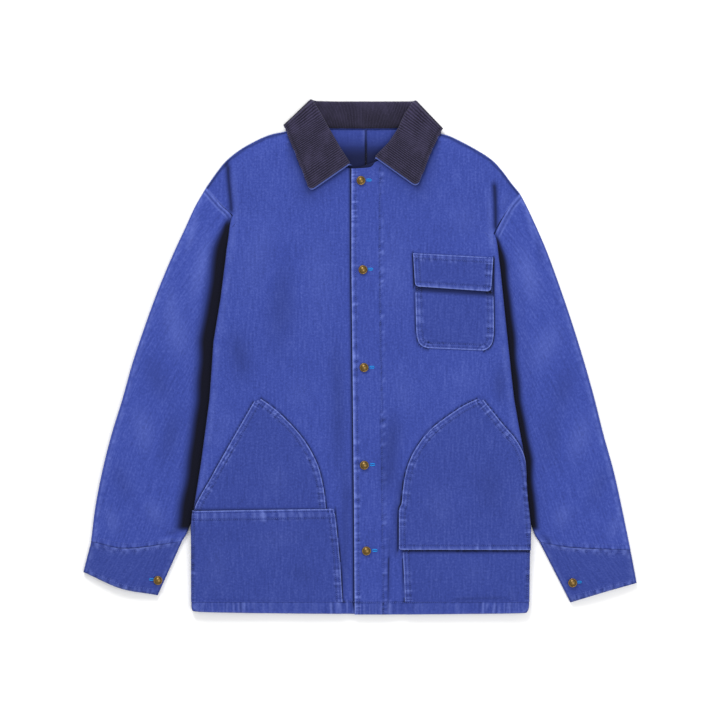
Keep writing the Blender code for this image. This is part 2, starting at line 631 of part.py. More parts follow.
def pocket(side, layers, left_edge, right_edge, across, down):
    """Patch on a front, made from the front's own points moved out."""
    at_top, at_foot, high_y, low_y = layers
    v = np.linspace(0.0, 1.0, down + 1)
    a = walk(left_edge, v)
    b = walk(right_edge, v)
    s = np.linspace(0.0, 1.0, across + 1)[None, :, None]
    plan = a[:, None, :] * (1 - s) + b[:, None, :] * s
    change = ease((high_y - plan[..., 1]) / (high_y - low_y))
    layer = at_top + (at_foot - at_top) * change
    return front_point(side, plan[..., 0], plan[..., 1], layer * POCKET_LIFT)


def button(name, x, y, z, metal, collection):
    """Domed metal button turned from its profile, standing on a short shank."""
    profile = [(r, h) for r, h in BUTTON_PROFILE]
    ring = list(reversed(profile)) + list(reversed(BUTTON_BACK))
    points = [(r * MM, 0.0, h * MM) for r, h in ring]
    mesh = bpy.data.meshes.new(name)
    mesh.from_pydata(points, [(k, k + 1) for k in range(len(points) - 1)], [])
    made = bpy.data.objects.new(name, mesh)
    collection.objects.link(made)
    turn = made.modifiers.new("turned", 'SCREW')
    turn.steps = BUTTON_STEPS
    turn.render_steps = BUTTON_STEPS
    turn.use_merge_vertices = True
    turn.merge_threshold = 0.0001
    turn.use_normal_calculate = False
    made.location = ((x - CENTRE_X) * MM, (y - CENTRE_Y) * MM, z * MM)
    paint(made, metal)
    return made


def clear_scene():
    for made in list(bpy.data.objects):
        bpy.data.objects.remove(made)


def build():
    clear_scene()
    jacket = bpy.data.collections.new("chore_jacket")
    bpy.context.scene.collection.children.link(jacket)
    blue = (0.055, 0.088, 0.37)
    navy = (0.036, 0.032, 0.068)
    brass = (0.32, 0.19, 0.04)
    for side in ("right", "left"):
        made = sheet_object("front_" + side, front(side), CLOTH, jacket)
        paint(made, material("twill_front_" + side, blue, 0.85))
        made = sheet_object("back_" + side, back(side), CLOTH, jacket)
        paint(made, material("twill_back_" + side, blue, 0.85))
        sleeve = tube(side, ARMHOLE[side], CUFF_SEAM[side], SLEEVE_OUTER[side],
                      SLEEVE_INNER[side], SLEEVE_HEIGHT,
                      SLEEVE_ROWS, start=0.5, end=0.2)
        made = sheet_object("sleeve_" + side, sleeve, CLOTH, jacket, closed=True)
        paint(made, material("twill_sleeve_" + side, blue, 0.85))
        cuff = tube(side, CUFF_SEAM[side], CUFF_HEM[side],
                    (CUFF_SEAM[side][0], CUFF_HEM[side][0]),
                    (CUFF_SEAM[side][-1], CUFF_HEM[side][-1]),
                    CUFF_HEIGHT, 2, start=0.2)
        made = sheet_object("cuff_" + side, cuff, CLOTH, jacket, closed=True)
        paint(made, material("twill_cuff_" + side, blue, 0.85))
    for name, side, layers, left_edge, right_edge, across, down in PATCHES:
        points = pocket(side, layers, left_edge, right_edge, across, down)
        made = sheet_object(name, points, POCKET_WALL, jacket)
        paint(made, material("twill_" + name, blue, 0.85))
    for name, x, y in BUTTONS:
        seat = float(front_height("left", x, y)) + CLOTH / 2 + SEAM_GAP + BUTTON_SHANK
        button(name, x, y, seat, material("brass_" + name, brass, 0.35, 1.0), jacket)
    for name, x, y, seat in CUFF_BUTTONS:
        button(name, x, y, seat, material("brass_" + name, brass, 0.35, 1.0), jacket)
    for layer, name, colour in ((0, "collar_upper", navy), (1, "collar_under", blue)):
        made = sheet_object(name, collar(layer), COLLAR_WALL, jacket)
        paint(made, material("cloth_" + name, colour, 0.9))


build()
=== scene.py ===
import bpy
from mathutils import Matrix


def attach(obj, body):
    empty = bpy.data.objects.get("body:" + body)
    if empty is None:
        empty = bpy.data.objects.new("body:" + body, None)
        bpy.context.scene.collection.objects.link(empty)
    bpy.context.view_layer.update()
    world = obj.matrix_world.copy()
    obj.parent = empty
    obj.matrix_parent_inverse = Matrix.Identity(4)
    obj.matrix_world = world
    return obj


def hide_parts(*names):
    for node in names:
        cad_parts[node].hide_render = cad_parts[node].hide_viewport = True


bl_info = {
    "name": "Chore Jacket",
    "version": (1, 0, 0),
    "blender": (4, 5, 0),
    "location": "View3D > Sidebar > Jacket",
    "description": "Builds a washed twill chore jacket laid flat, with its stitching and buttons",
    "category": "Add Mesh",
}

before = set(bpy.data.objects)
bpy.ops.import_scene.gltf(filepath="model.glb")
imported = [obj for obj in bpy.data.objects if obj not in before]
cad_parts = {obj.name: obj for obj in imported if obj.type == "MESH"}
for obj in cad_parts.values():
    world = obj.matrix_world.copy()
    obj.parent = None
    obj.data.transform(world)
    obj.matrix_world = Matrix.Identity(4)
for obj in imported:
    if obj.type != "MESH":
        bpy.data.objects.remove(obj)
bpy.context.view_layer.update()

import math

import bpy
import numpy as np
from bpy.props import FloatProperty, FloatVectorProperty, IntProperty, PointerProperty

MM = 0.001
CENTRE_X = 0.8
CENTRE_Y = -0.5
FLOOR = 0.65
EDGE_ROLL = 4.0
LAP_LIFT = 1.75
SHOULDER_LIFT = 1.9
POCKET_LIFT = 1.75
BACK_SEAM_X = 10.0

# side fold of the body: up the body, fold line, crest of the fold, height of the
# cloth tucked beneath it, and how far that cloth runs back in to its seam
FOLD_COLUMNS = ("y", "x", "crest", "under", "tuck")
FOLD = {
    "right": (
        (-410.0, -259.6, 9.0, 1.4, 8.0),
        (-386.7, -259.6, 9.4, 1.4, 8.0),
        (-315.4, -259.6, 12.4, 4.4, 8.0),
        (-262.7, -259.6, 15.0, 7.0, 8.0),
        (-230.2, -255.0, 15.0, 7.0, 8.0),
        (-160.4, -244.1, 15.0, 7.0, 8.0),
        (-67.4, -231.7, 15.0, 7.0, 8.0),
        (-36.4, -229.4, 15.0, 7.0, 24.7),
        (-8.5, -227.5, 15.0, 7.0, 42.9),
        (22.5, -225.5, 15.0, 7.0, 51.8),
        (87.6, -214.7, 15.0, 7.0, 36.3),
        (146.5, -207.2, 15.0, 7.0, 21.1),
        (165.1, -205.1, 15.0, 7.0, 14.3),
        (188.3, -201.8, 12.0, 6.9, 0.0),
        (203.8, -200.4, 9.0, 6.9, 0.0),
        (217.8, -199.2, 6.8, 6.8, 0.0),
        (234.8, -217.8, 5.5, 5.5, 0.0),
        (261.2, -250.3, 3.0, 3.0, -8.4),
    ),
    "left": (
        (-410.0, 261.2, 9.0, 1.4, 8.0),
        (-386.7, 261.9, 9.4, 1.4, 8.0),
        (-315.4, 262.7, 12.4, 4.4, 8.0),
        (-265.8, 264.0, 15.0, 7.0, 8.0),
        (-222.4, 259.2, 15.0, 7.0, 8.0),
        (-160.4, 256.1, 15.0, 7.0, 8.0),
        (-113.9, 247.2, 15.0, 7.0, 8.0),
        (-67.4, 239.0, 15.0, 7.0, 8.0),
        (-36.4, 235.4, 15.0, 7.0, 24.5),
        (-8.5, 232.5, 15.0, 7.0, 41.7),
        (17.8, 229.6, 15.0, 7.0, 48.1),
        (81.4, 222.9, 15.0, 7.0, 36.8),
        (134.1, 217.5, 15.0, 7.0, 22.1),
        (146.5, 215.9, 15.0, 7.0, 15.8),
        (165.1, 213.9, 12.0, 6.9, 0.0),
        (179.0, 212.3, 9.0, 6.9, 0.0),
        (189.9, 210.8, 6.8, 6.8, 0.0),
        (208.5, 220.9, 5.8, 5.8, 0.0),
        (231.7, 236.4, 4.5, 4.5, 0.0),
        (251.9, 258.1, 3.0, 3.0, -5.3),
    ),
}
SIGN = {"right": -1.0, "left": 1.0}
REST_COLUMNS = ("y", "height")
REST = ((-410.0, 7.6), (-250.0, 8.0), (0.0, 8.6), (150.0, 9.4), (300.0, 9.8), (400.0, 9.8))
SHOULDER = {
    "right": ((-87.6, 362.0), (-111.0, 349.5), (-143.4, 341.6), (-179.0, 323.9),
              (-203.8, 305.4), (-219.3, 287.5), (-237.9, 261.2)),
    "left": ((90.7, 361.0), (121.0, 346.5), (140.7, 340.6), (174.4, 323.9),
             (203.8, 305.4), (220.9, 287.5), (234.8, 268.9), (248.8, 251.9)),
}
NECKLINE = {
    "right": ((25.6, 301.5), (-11.6, 291.4), (-39.5, 301.5), (-64.3, 324.7),
              (-78.3, 346.4), (-84.5, 357.0), (-87.6, 362.0)),
    "left": ((-12.4, 290.6), (16.3, 292.9), (25.6, 301.5), (50.4, 312.3),
             (69.0, 334.0), (81.4, 349.5), (87.6, 357.6), (90.7, 361.0)),
}
NECK_BACK = ((-87.6, 362.0), (-73.6, 356.5), (-50.4, 351.4), (10.1, 351.1),
             (62.8, 351.4), (79.8, 355.7), (90.7, 361.0))
HEM = {
    "right": ((25.6, -398.4), (-92.2, -397.6), (-185.2, -396.5), (-239.5, -394.9),
              (-251.9, -391.4), (-258.9, -383.6)),
    "left": ((-7.4, -399.1), (62.8, -399.1), (140.3, -398.4), (217.8, -397.6),
             (248.8, -396.3), (256.5, -392.9), (261.9, -385.2)),
}
FREE_EDGE = {
    "right": ((25.6, -398.4), (25.6, 301.5)),
    "left": ((-7.4, -399.1), (-8.5, -222.4), (-10.5, -36.4), (-12.4, 134.1),
             (-12.4, 290.6)),
}
ARMHOLE = {
    "right": ((-237.9, 261.2), (-217.8, 237.9), (-199.2, 217.8), (-191.4, 188.3),
              (-182.1, 146.5), (-174.4, 87.6), (-169.7, 22.5)),
    "left": ((248.8, 251.9), (232.3, 230.8), (210.8, 189.1), (202.3, 165.1),
             (194.5, 134.1), (182.1, 81.4), (177.5, 17.8)),
}
SLEEVE_OUTER = {
    "right": ((-237.9, 261.2), (-255.0, 231.7), (-272.0, 194.5), (-289.1, 157.3),
              (-312.3, 101.5), (-332.5, 45.7), (-351.1, -10.1), (-366.6, -65.9),
              (-383.6, -121.7), (-397.6, -177.5), (-408.4, -233.3),
              (-415.2, -287.5)),
    "left": ((248.8, 251.9), (259.6, 231.7), (276.7, 194.5), (292.2, 157.3),
             (312.3, 101.5), (330.9, 45.7), (348.0, -10.1), (363.5, -65.9),
             (377.4, -121.7), (392.9, -177.5), (405.3, -233.3), (419.0, -299.6)),
}
SLEEVE_INNER = {
    "right": ((-169.7, 22.5), (-191.4, -36.4), (-213.1, -106.2), (-239.5, -188.3),
              (-263.3, -262.7), (-275.9, -286.8)),
    "left": ((177.5, 17.8), (199.2, -41.1), (222.4, -110.8), (247.2, -193.0),
             (268.8, -267.4), (279.8, -287.5)),
}
CUFF_SEAM = {
    "right": ((-415.2, -287.5), (-360.4, -296.8), (-275.9, -286.8)),
    "left": ((419.0, -299.6), (327.2, -295.3), (279.8, -287.5)),
}
CUFF_HEM = {
    "right": ((-427.0, -334.0), (-369.7, -358.8), (-313.1, -369.7)),
    "left": ((428.6, -350.5), (377.4, -365.0), (327.2, -380.5)),
}
TUBE_COLUMNS = ("down", "outer", "crown", "inner")
SLEEVE_HEIGHT = (
    (0.00, 3.2, 5.6, 5.35),
    (0.08, 5.6, 8.6, 5.35),
    (0.20, 8.6, 13.0, 5.35),
    (0.50, 9.4, 16.0, 5.35),
    (0.85, 9.0, 15.0, 5.6),
    (1.00, 7.4, 10.8, 6.2),
)
CUFF_HEIGHT = ((0.0, 7.6, 11.2, 6.4), (1.0, 7.2, 9.8, 6.6))

# collar round the neck from its wearer's right end to its left end
COLLAR_COLUMNS = ("neck_x", "neck_y", "roll_x", "roll_y", "outer_x", "outer_y",
                  "tilt", "axis")
COLLAR = (
    (-14.8, 294.4, -14.8, 299.4, -77.3, 256.1, 90.0, 12.6),
    (-37.6, 304.4, -31.0, 324.7, -88.4, 286.0, 90.0, 12.2),
    (-64.3, 325.2, -46.2, 351.1, -100.8, 317.0, 88.0, 12.0),
    (-77.8, 346.8, -58.0, 373.0, -109.6, 339.1, 84.0, 12.0),
    (-85.0, 359.6, -69.6, 392.0, -115.4, 354.0, 55.0, 11.1),
    (-86.6, 361.8, -73.0, 397.0, -117.8, 358.0, 0.0, 7.4),
    (-83.6, 360.6, -71.4, 396.2, -113.4, 355.0, -55.0, 4.2),
    (-78.0, 358.4, -66.0, 395.2, -109.6, 351.2, -86.0, 3.6),
    (-45.7, 352.2, -36.4, 394.5, -61.2, 333.2, -90.0, 3.56),
    (5.4, 351.9, 5.0, 394.5, 3.0, 330.9, -90.0, 3.56),
    (53.5, 352.2, 43.1, 394.5, 70.5, 332.5, -90.0, 3.56),
    (82.0, 358.0, 76.0, 394.6, 118.6, 345.8, -86.0, 3.6),
    (86.8, 360.0, 83.0, 394.8, 124.4, 350.0, -55.0, 4.2),
    (89.8, 361.4, 85.2, 395.4, 129.2, 353.0, 0.0, 7.4),
    (88.2, 359.0, 81.0, 391.5, 126.8, 348.6, 55.0, 11.1),
    (81.0, 350.0, 70.4, 376.2, 121.4, 338.0, 84.0, 12.0),
    (69.0, 334.6, 58.9, 351.1, 112.4, 320.1, 88.0, 12.0),
    (48.4, 315.6, 45.5, 331.0, 101.5, 292.2, 90.0, 12.2),
    (25.6, 302.4, 24.4, 309.4, 89.9, 262.7, 90.0, 12.6),
)
# where the collar's outer edge and its front end lie on each front
COLLAR_EDGE = {
    "right": ((-14.8, 299.4), (-77.3, 256.1), (-88.4, 286.0), (-100.8, 317.0), (-109.6, 339.1)),
    "left": ((24.4, 309.4), (89.9, 262.7), (101.5, 292.2), (112.4, 320.1), (121.4, 338.0)),
}
COLLAR_ROLL = 3.0
COLLAR_STEP = 1.9
NECK_CLEAR_FRONT = 3.4
NECK_CLEAR_BACK = 0.9
WRAP_HEIGHT = 7.2

# patches: layer at the top and at the foot, the height between which it changes,
# and two side edges from top to bottom
PATCH_COLUMNS = ("name", "side", "layers", "left_edge", "right_edge")
PATCHES = (
    ("chest_pocket", "left", (1, 1, 0.0, 1.0),
     ((86.0, 150.0), (86.6, 100.0), (87.6, 50.0), (88.6, 34.0), (91.6, 22.0), (97.5, 16.0),
      (105.9, 13.2)),
     ((206.4, 150.0), (206.9, 100.0), (207.6, 50.0), (207.2, 32.0), (204.6, 20.0),
      (199.0, 13.0), (191.4, 9.5))),
    ("chest_flap", "left", (2, 2, 0.0, 1.0),
     ((82.8, 159.7), (84.4, 134.0), (86.0, 108.5)),
     ((206.5, 152.7), (205.0, 128.0), (203.2, 100.3))),
    ("arched_pocket", "right", (1, 1, 0.0, 1.0),
     ((-163.0, -70.0), (-208.5, -149.6), (-230.2, -188.7), (-251.9, -227.8),
      (-256.0, -252.0)),
     ((-152.0, -66.0), (-137.0, -76.5), (-123.0, -88.5), (-100.0, -111.5), (-80.6, -137.0),
      (-65.1, -167.0), (-56.8, -198.0), (-52.8, -226.0), (-51.0, -252.0))),
    ("patch_pocket_right", "right", (2, 1, -262.0, -292.0),
     ((-262.7, -237.9), (-265.5, -310.0), (-265.5, -379.6)),
     ((-38.8, -234.8), (-30.8, -311.6), (-26.3, -379.6))),
    ("patch_pocket_left", "left", (1, 1, 0.0, 1.0),
     ((66.2, -284.4), (69.4, -350.0), (70.2, -379.6)),
     ((268.5, -284.4), (267.8, -350.0), (267.2, -379.6))),
    ("arched_flap", "left", (1, 2, -200.0, -240.0),
     ((184.0, -65.2), (160.0, -76.5), (127.9, -98.4), (108.0, -115.0), (92.0, -135.0),
      (78.0, -160.0), (69.5, -190.0), (65.3, -226.1), (61.5, -240.0), (61.2, -299.6)),
     ((191.5, -67.5), (219.0, -102.0), (243.3, -131.0), (256.1, -159.8),
      (262.0, -200.0), (266.0, -250.0), (269.5, -299.6))),
)
# plan x between which a patch pocket's foot is caught in the hem
POCKET_FEET = {"right": (-300.0, -26.0), "left": (70.2, 300.0)}
BUTTONS = (
    ("front_button_1", 2.3, 272.0),
    ("front_button_2", 5.4, 134.1),
    ("front_button_3", 7.0, -17.1),
    ("front_button_4", 7.4, -168.2),
    ("front_button_5", 10.8, -300.7),
)
CUFF_BUTTONS = (
    ("cuff_button_right", -311.7, -346.4, 9.75),
    ("cuff_button_left", 329.7, -350.1, 10.7),
)

# soft creases: where each starts and ends, its half width, its height (a trough is
# below zero), how much of its length fades out at each end
CREASE_COLUMNS = ("x1", "y1", "x2", "y2", "wide", "high", "fade")
BODY_CREASES = {
    "right": (
        (-203.0, 306.0, -198.5, 214.0, 4.8, -3.2, 0.16),
        (-196.5, 306.0, -190.0, 190.0, 4.6, 2.2, 0.35),
        (-150.0, 250.0, -168.0, 60.0, 26.0, 1.2, 0.5),
        (-120.0, 200.0, -132.0, -40.0, 22.0, -0.9, 0.5),
        (-70.0, 230.0, -62.0, 20.0, 24.0, 0.9, 0.5),
        (-190.0, 60.0, -182.0, -60.0, 16.0, -1.1, 0.5),
        (-205.0, -60.0, -215.0, -150.0, 14.0, 0.9, 0.5),
        (-95.0, -20.0, -104.0, -90.0, 18.0, 0.8, 0.5),
        (-38.0, 60.0, -33.0, -220.0, 12.0, -0.9, 0.4),
        (-24.0, -150.0, -20.0, -390.0, 8.0, -1.0, 0.3),
        (-70.0, -270.0, -190.0, -290.0, 16.0, 0.7, 0.5),
        (-210.0, -270.0, -228.0, -380.0, 16.0, 0.8, 0.5),
        (-120.0, -330.0, -60.0, -352.0, 12.0, -0.6, 0.5),
        (-110.0, -160.0, -140.0, -225.0, 16.0, 0.7, 0.5),
        (-190.0, -376.0, -90.0, -380.0, 6.0, 0.5, 0.5),
    ),
    "left": (
        (207.5, 276.0, 211.5, 188.0, 4.8, -3.2, 0.16),
        (200.0, 280.0, 203.0, 150.0, 4.6, 2.2, 0.4),
        (228.0, 262.0, 222.0, 222.0, 7.0, 1.4, 0.45),
        (60.0, 230.0, 56.0, 40.0, 22.0, 1.0, 0.5),
        (150.0, 250.0, 160.0, 172.0, 22.0, 0.9, 0.5),
        (150.0, -8.0, 160.0, -66.0, 18.0, 0.8, 0.5),
        (216.0, 0.0, 222.0, -90.0, 10.0, -1.0, 0.5),
        (52.0, -60.0, 48.0, -240.0, 14.0, -1.2, 0.4),
        (60.0, 0.0, 78.0, -110.0, 14.0, 0.9, 0.5),
        (47.0, -250.0, 45.0, -392.0, 3.0, -0.8, 0.3),
        (130.0, -180.0, 118.0, -280.0, 20.0, 0.8, 0.5),
        (190.0, -150.0, 216.0, -262.0, 20.0, -0.8, 0.5),
        (238.0, -190.0, 246.0, -270.0, 12.0, 0.9, 0.5),
        (132.0, -378.0, 240.0, -374.0, 3.4, -1.1, 0.3),
        (228.0, -350.0, 246.0, -384.0, 5.0, 0.9, 0.4),
        (150.0, -330.0, 206.0, -340.0, 14.0, 0.7, 0.5),
    ),
}
SLEEVE_CREASES = {
    "right": (
        (-250.0, 232.0, -268.0, 150.0, 5.0, 1.6, 0.45),
        (-232.0, 214.0, -262.0, 60.0, 12.0, 1.3, 0.5),
        (-300.0, 100.0, -262.0, -20.0, 18.0, 1.0, 0.5),
        (-330.0, 20.0, -290.0, -90.0, 16.0, -0.9, 0.5),
        (-352.0, -60.0, -322.0, -170.0, 16.0, 0.9, 0.5),
        (-282.0, -60.0, -308.0, -190.0, 14.0, -1.0, 0.5),
        (-380.0, -150.0, -350.0, -240.0, 14.0, -0.7, 0.5),
        (-330.0, -210.0, -300.0, -270.0, 12.0, 0.9, 0.5),
        (-396.0, -220.0, -372.0, -288.0, 10.0, 0.9, 0.5),
        (-300.0, -282.0, -276.0, -262.0, 5.0, -1.4, 0.4),
        (-318.0, -290.0, -282.0, -276.0, 4.0, 1.0, 0.4),
        (-290.0, 130.0, -300.0, 40.0, 10.0, 0.7, 0.5),
    ),
    "left": (
        (256.0, 240.0, 276.0, 150.0, 2.8, 1.9, 0.35),
        (262.0, 224.0, 284.0, 120.0, 6.0, -0.9, 0.45),
        (250.0, 190.0, 268.0, 60.0, 14.0, 1.3, 0.5),
        (310.0, 70.0, 270.0, -40.0, 18.0, 1.0, 0.5),
        (336.0, 0.0, 300.0, -110.0, 16.0, -0.9, 0.5),
        (352.0, -70.0, 322.0, -180.0, 16.0, 0.9, 0.5),
        (284.0, -60.0, 312.0, -190.0, 14.0, -0.9, 0.5),
        (384.0, -150.0, 352.0, -250.0, 14.0, -0.7, 0.5),
        (330.0, -220.0, 300.0, -276.0, 12.0, 0.9, 0.5),
        (404.0, -230.0, 386.0, -296.0, 10.0, 0.8, 0.5),
        (300.0, -292.0, 276.0, -270.0, 5.0, -1.2, 0.4),
    ),
}

# buttonholes right of each front button, and beside the cuff buttons with a height
BUTTONHOLES = ((14.6, 272.8), (16.9, 135.0), (19.0, -16.7), (20.0, -167.2), (23.6, -299.9))
CUFF_BUTTONHOLES = ((-321.6, -344.9, 9.9), (340.2, -348.9, 10.9))
# bar tacks: patch, place, length and turn in degrees
BAR_TACKS = (
    ("arched_pocket", -158.0, -72.5, 9.0, 15.0),
    ("patch_pocket_right", -46.0, -238.5, 9.0, 90.0),
    ("patch_pocket_right", -43.5, -254.0, 9.0, 90.0),
    ("arched_flap", 186.5, -71.5, 9.0, -20.0),
    ("chest_flap", 87.5, 155.0, 5.0, 90.0),
    ("chest_flap", 202.0, 149.0, 5.0, 90.0),
)
# lights: name, place, what it faces, width and power
LIGHTS = (
    ("key", (-0.7, 2.3, 1.9), (0.0, 0.0, 0.0), 1.3, 54.0),
    ("fill", (0.9, -0.6, 2.6), (0.0, 0.0, 0.0), 2.4, 36.0),
)
WORLD_LIGHT = 0.60
CAMERA_HEIGHT = 5.0
CAMERA_LENS = 161.3


# ---------------------------------------------------------------- settings
def metres(name, description, default, lowest, highest):
    return FloatProperty(name=name, description=description, default=default,
                         min=lowest, max=highest, unit='LENGTH', subtype='DISTANCE')


def colour(name, description, default):
    return FloatVectorProperty(name=name, description=description, default=default,
                               min=0.0, max=1.0, size=3, subtype='COLOR')


class JacketSizes(bpy.types.PropertyGroup):
    cloth: metres("Cloth", "Thickness of the twill", 0.0013, 0.001, 0.003)
    patch: metres("Patch", "Thickness of a patch", 0.0011, 0.001, 0.003)
    cord: metres("Corduroy", "Thickness of a collar layer", 0.001, 0.001, 0.003)
    mesh: metres("Mesh", "Spacing of the cloth's mesh", 0.0028, 0.002, 0.02)
    stitch: metres("Stitch", "Length of one stitch", 0.0024, 0.001, 0.006)
    thread: metres("Thread", "Radius of the sewing thread", 0.00032, 0.0001, 0.001)
    wale: metres("Wale", "Spacing of the corduroy's ribs", 0.0029, 0.001, 0.006)
    steps: IntProperty(name="Button steps", description="Facets round a button",
                       default=48, min=12, max=96)


class JacketColours(bpy.types.PropertyGroup):
    twill: colour("Twill", "Blue of the washed twill", (0.0355, 0.0595, 0.302))
    faded: colour("Faded", "Blue where the seams have worn pale", (0.160, 0.215, 0.60))
    # deep: the twill's own darker tone in its random mottle and streaks, and also the colour of
    # painted shade in grooves, creases and under edges
    deep: colour("Dark_Tone_And_Painted_Shade", "Blue kept in the grooves", (0.015, 0.026, 0.135))
    # fold: painted shade, a near-black blue painted into the deepest folds and into the hollow beside
    # the body's side edges
    fold: colour("Painted_Fold_Shade", "Near-black blue kept in the deepest folds", (0.0022, 0.0025, 0.010))
    corduroy: colour("Corduroy", "Navy of the collar", (0.030, 0.0255, 0.056))
    brass: colour("Brass", "Warm metal of the buttons", (0.205, 0.128, 0.040))
    patina: colour("Patina", "Darkened metal in the hollows", (0.045, 0.026, 0.011))
    thread: colour("Thread", "Seam thread", (0.070, 0.108, 0.42))
    buttonhole: colour("Buttonhole", "Bright buttonhole thread", (0.006, 0.26, 0.78))


def sizes():
    return bpy.context.scene.jacket_sizes


def colours():
    return bpy.context.scene.jacket_colours


# ---------------------------------------------------------------- number tools
def ease(value):
    """Smooth step: 3t^2 - 2t^3 of the value held between 0 and 1."""
    t = np.clip(value, 0.0, 1.0)
    return t * t * (3.0 - 2.0 * t)


def column(table, names, key, wanted, at):
    """Read one named column of a table at the given key values."""
    rows = np.array(table, dtype=float)
    return np.interp(at, rows[:, names.index(key)], rows[:, names.index(wanted)])


def walk(points, share):
    """Points along a polyline at the given shares of its length."""
    line = np.array(points, dtype=float)
    steps = np.hypot(*np.diff(line, axis=0).T)
    run = np.concatenate(([0.0], np.cumsum(steps))) / steps.sum()
    return np.stack([np.interp(share, run, line[:, k]) for k in (0, 1)], axis=-1)


def rounded(points, count=60):
    """A smooth line through the points: a Catmull-Rom curve, which passes each point
    with the slope of the line between its two neighbours."""
    p = np.array(points, dtype=float)
    p = np.concatenate([[2 * p[0] - p[1]], p, [2 * p[-1] - p[-2]]])
    t = np.linspace(0.0, len(p) - 3.0, count)
    k = np.minimum(t.astype(int), len(p) - 4)
    f = (t - k)[:, None]
    a, b, c, d = p[k], p[k + 1], p[k + 2], p[k + 3]
    return 0.5 * (2 * b + (c - a) * f + (2 * a - 5 * b + 4 * c - d) * f ** 2
                  + (3 * b - a - 3 * c + d) * f ** 3)


def along(points, x, y):
    """Distance to a polyline, the run along it and the side, for each plan point."""
    line = np.array(points, dtype=float)
    best = np.full(np.shape(x), 1e9)
    run = np.zeros(np.shape(x))
    side = np.zeros(np.shape(x))
    start = 0.0
    for a, b in zip(line[:-1], line[1:]):
        step = b - a
        size = math.hypot(*step)
        t = ((x - a[0]) * step[0] + (y - a[1]) * step[1]) / (size * size)
        t = np.clip(t, 0.0, 1.0)
        dx, dy = x - a[0] - t * step[0], y - a[1] - t * step[1]
        gap = np.hypot(dx, dy)
        nearer = gap < best
        best = np.where(nearer, gap, best)
        run = np.where(nearer, start + t * size, run)
        side = np.where(nearer, np.sign(step[0] * dy - step[1] * dx), side)
        start += size
    return best, run, side


def waver(run, seed, length):
    """Uneven wave between -1 and 1: four sines of unlike lengths, added."""
    phase = np.random.default_rng(seed).uniform(0.0, 6.28, 4)
    parts = (1.0, 1.73, 0.61, 2.57)
    total = sum(np.sin(run * 6.283 * p / length + q) for p, q in zip(parts, phase))
    return total / 2.6


def rumple(x, y, seed, length):
    """Gentle swells of the cloth: crossing waves in six directions, added."""
    rng = np.random.default_rng(seed)
    total = np.zeros(np.shape(x))
    for _ in range(6):
        angle = rng.uniform(0, math.pi)
        size = length * rng.uniform(0.6, 1.6)
        phase = rng.uniform(0, 6.28)
        turn = (x * math.cos(angle) + y * math.sin(angle)) / size
        bend = 0.8 * np.sin((x * math.sin(angle) - y * math.cos(angle)) / (size * 1.9) + phase)
        total += np.sin(turn * 6.283 + phase + bend)
    return total / 6.0


def creases(table, x, y):
    """Sum of soft ridges and troughs: each has a bell-shaped section, is highest at
    its middle and fades to nothing at its ends."""
    total = np.zeros(np.shape(x))
    for x1, y1, x2, y2, wide, high, fade in table:
        step = np.array((x2 - x1, y2 - y1))
        size = math.hypot(*step)
        t = ((x - x1) * step[0] + (y - y1) * step[1]) / size ** 2
        off = ((x - x1) * step[1] - (y - y1) * step[0]) / size
        off = off + 0.25 * wide * np.sin(t * 4.0 + x1)
        ends = ease(t / fade) * ease((1.0 - t) / fade)
        total += high * ends * np.exp(-(off / wide) ** 2)
    return total


def patch(bottom, top, left, right, u, v):
    """Blend four edges into a sheet: the Coons rule."""
    u = u[..., None]
    v = v[..., None]
    corners = ((1 - u) * (1 - v) * bottom[0, 0] + u * (1 - v) * bottom[0, -1]
               + (1 - u) * v * top[-1, 0] + u * v * top[-1, -1])
    return (1 - v) * bottom + v * top + (1 - u) * left + u * right - corners


# ---------------------------------------------------------------- seams
class Seam:
    """A line of sewing: its path, how far each stitch row lies to its side, the
    swelling of the folded cloth beside it and how strongly it puckers."""

    def __init__(self, path, rows, width, swell, pucker, seed, pitch=11.0, slant=0.0,
                 rim=1.0):
        self.path = np.array(path, dtype=float)
        self.rows = rows
        self.width = width
        self.swell = swell
        self.pucker = pucker
        self.seed = seed
        self.pitch = pitch
        self.slant = slant
        self.rim = rim

    def profile(self, inside, run):
        """Height and paleness: a raised band from the path to its last row, dented at each row,
        worn pale at its edge and roped with worn pale crests and dark troughs; paleness below
        zero is painted shade in the stitch grooves and the pucker troughs."""
        band = ease((inside + 0.8) / 1.2) * ease((self.width - inside) / 2.2)
        at = run + self.slant * inside
        wave = waver(at, self.seed, self.pitch)
        small = waver(at, self.seed + 9, self.pitch * 0.45)
        patchy = 0.55 + 0.45 * waver(run, self.seed + 5, 130.0)
        near = np.exp(-(np.maximum(0.0, inside - self.width) / 2.5) ** 2)
        near = near * ease((inside + 1.0) / 1.5)
        height = self.swell * band + self.pucker * near * (wave + 0.4 * small)
        groove = sum(np.exp(-((inside - abs(row)) / 1.3) ** 2) for row in self.rows)
        height = height - 0.35 * groove
        ridge = self.rim * np.exp(-(inside / 1.7) ** 2)
        pale = 1.0 * ridge * (0.75 + 0.35 * small) + 0.10 * self.rim * band
        # rope: pucker crests worn pale, painted shade in the troughs; painted shade in the stitch
        # grooves
        rope = self.pucker * (np.clip(wave + 0.5 * small, 0.0, 1.0) * 3.2
                              - np.clip(-wave, 0.0, 1.0) * 1.6)
        pale = pale + near * rope * patchy - 0.55 * groove * (0.8 + 0.4 * small)
        return height, pale

    def relief(self, x, y):
        """The profile at plan points; rows below zero lie to the path's right."""
        gap, run, side = along(self.path, x, y)
        inside = gap * side
        if self.rows[0] < 0:
            inside = -inside
        return self.profile(inside, run)


def free_edge_path():
    return rounded(FREE_EDGE["left"], 40)


# ---------------------------------------------------------------- body heights
def fold_at(side, y, wanted):
    """A column of the side fold's table; its line is rounded in at the hem's corner
    along a quarter circle."""
    found = column(FOLD[side], FOLD_COLUMNS, "y", wanted, y)
    if wanted == "x":
        low = np.clip((-386.0 - y) / 13.0, 0.0, 0.99)
        found = found - SIGN[side] * 10.0 * (1.0 - np.sqrt(1.0 - low * low))
    return found


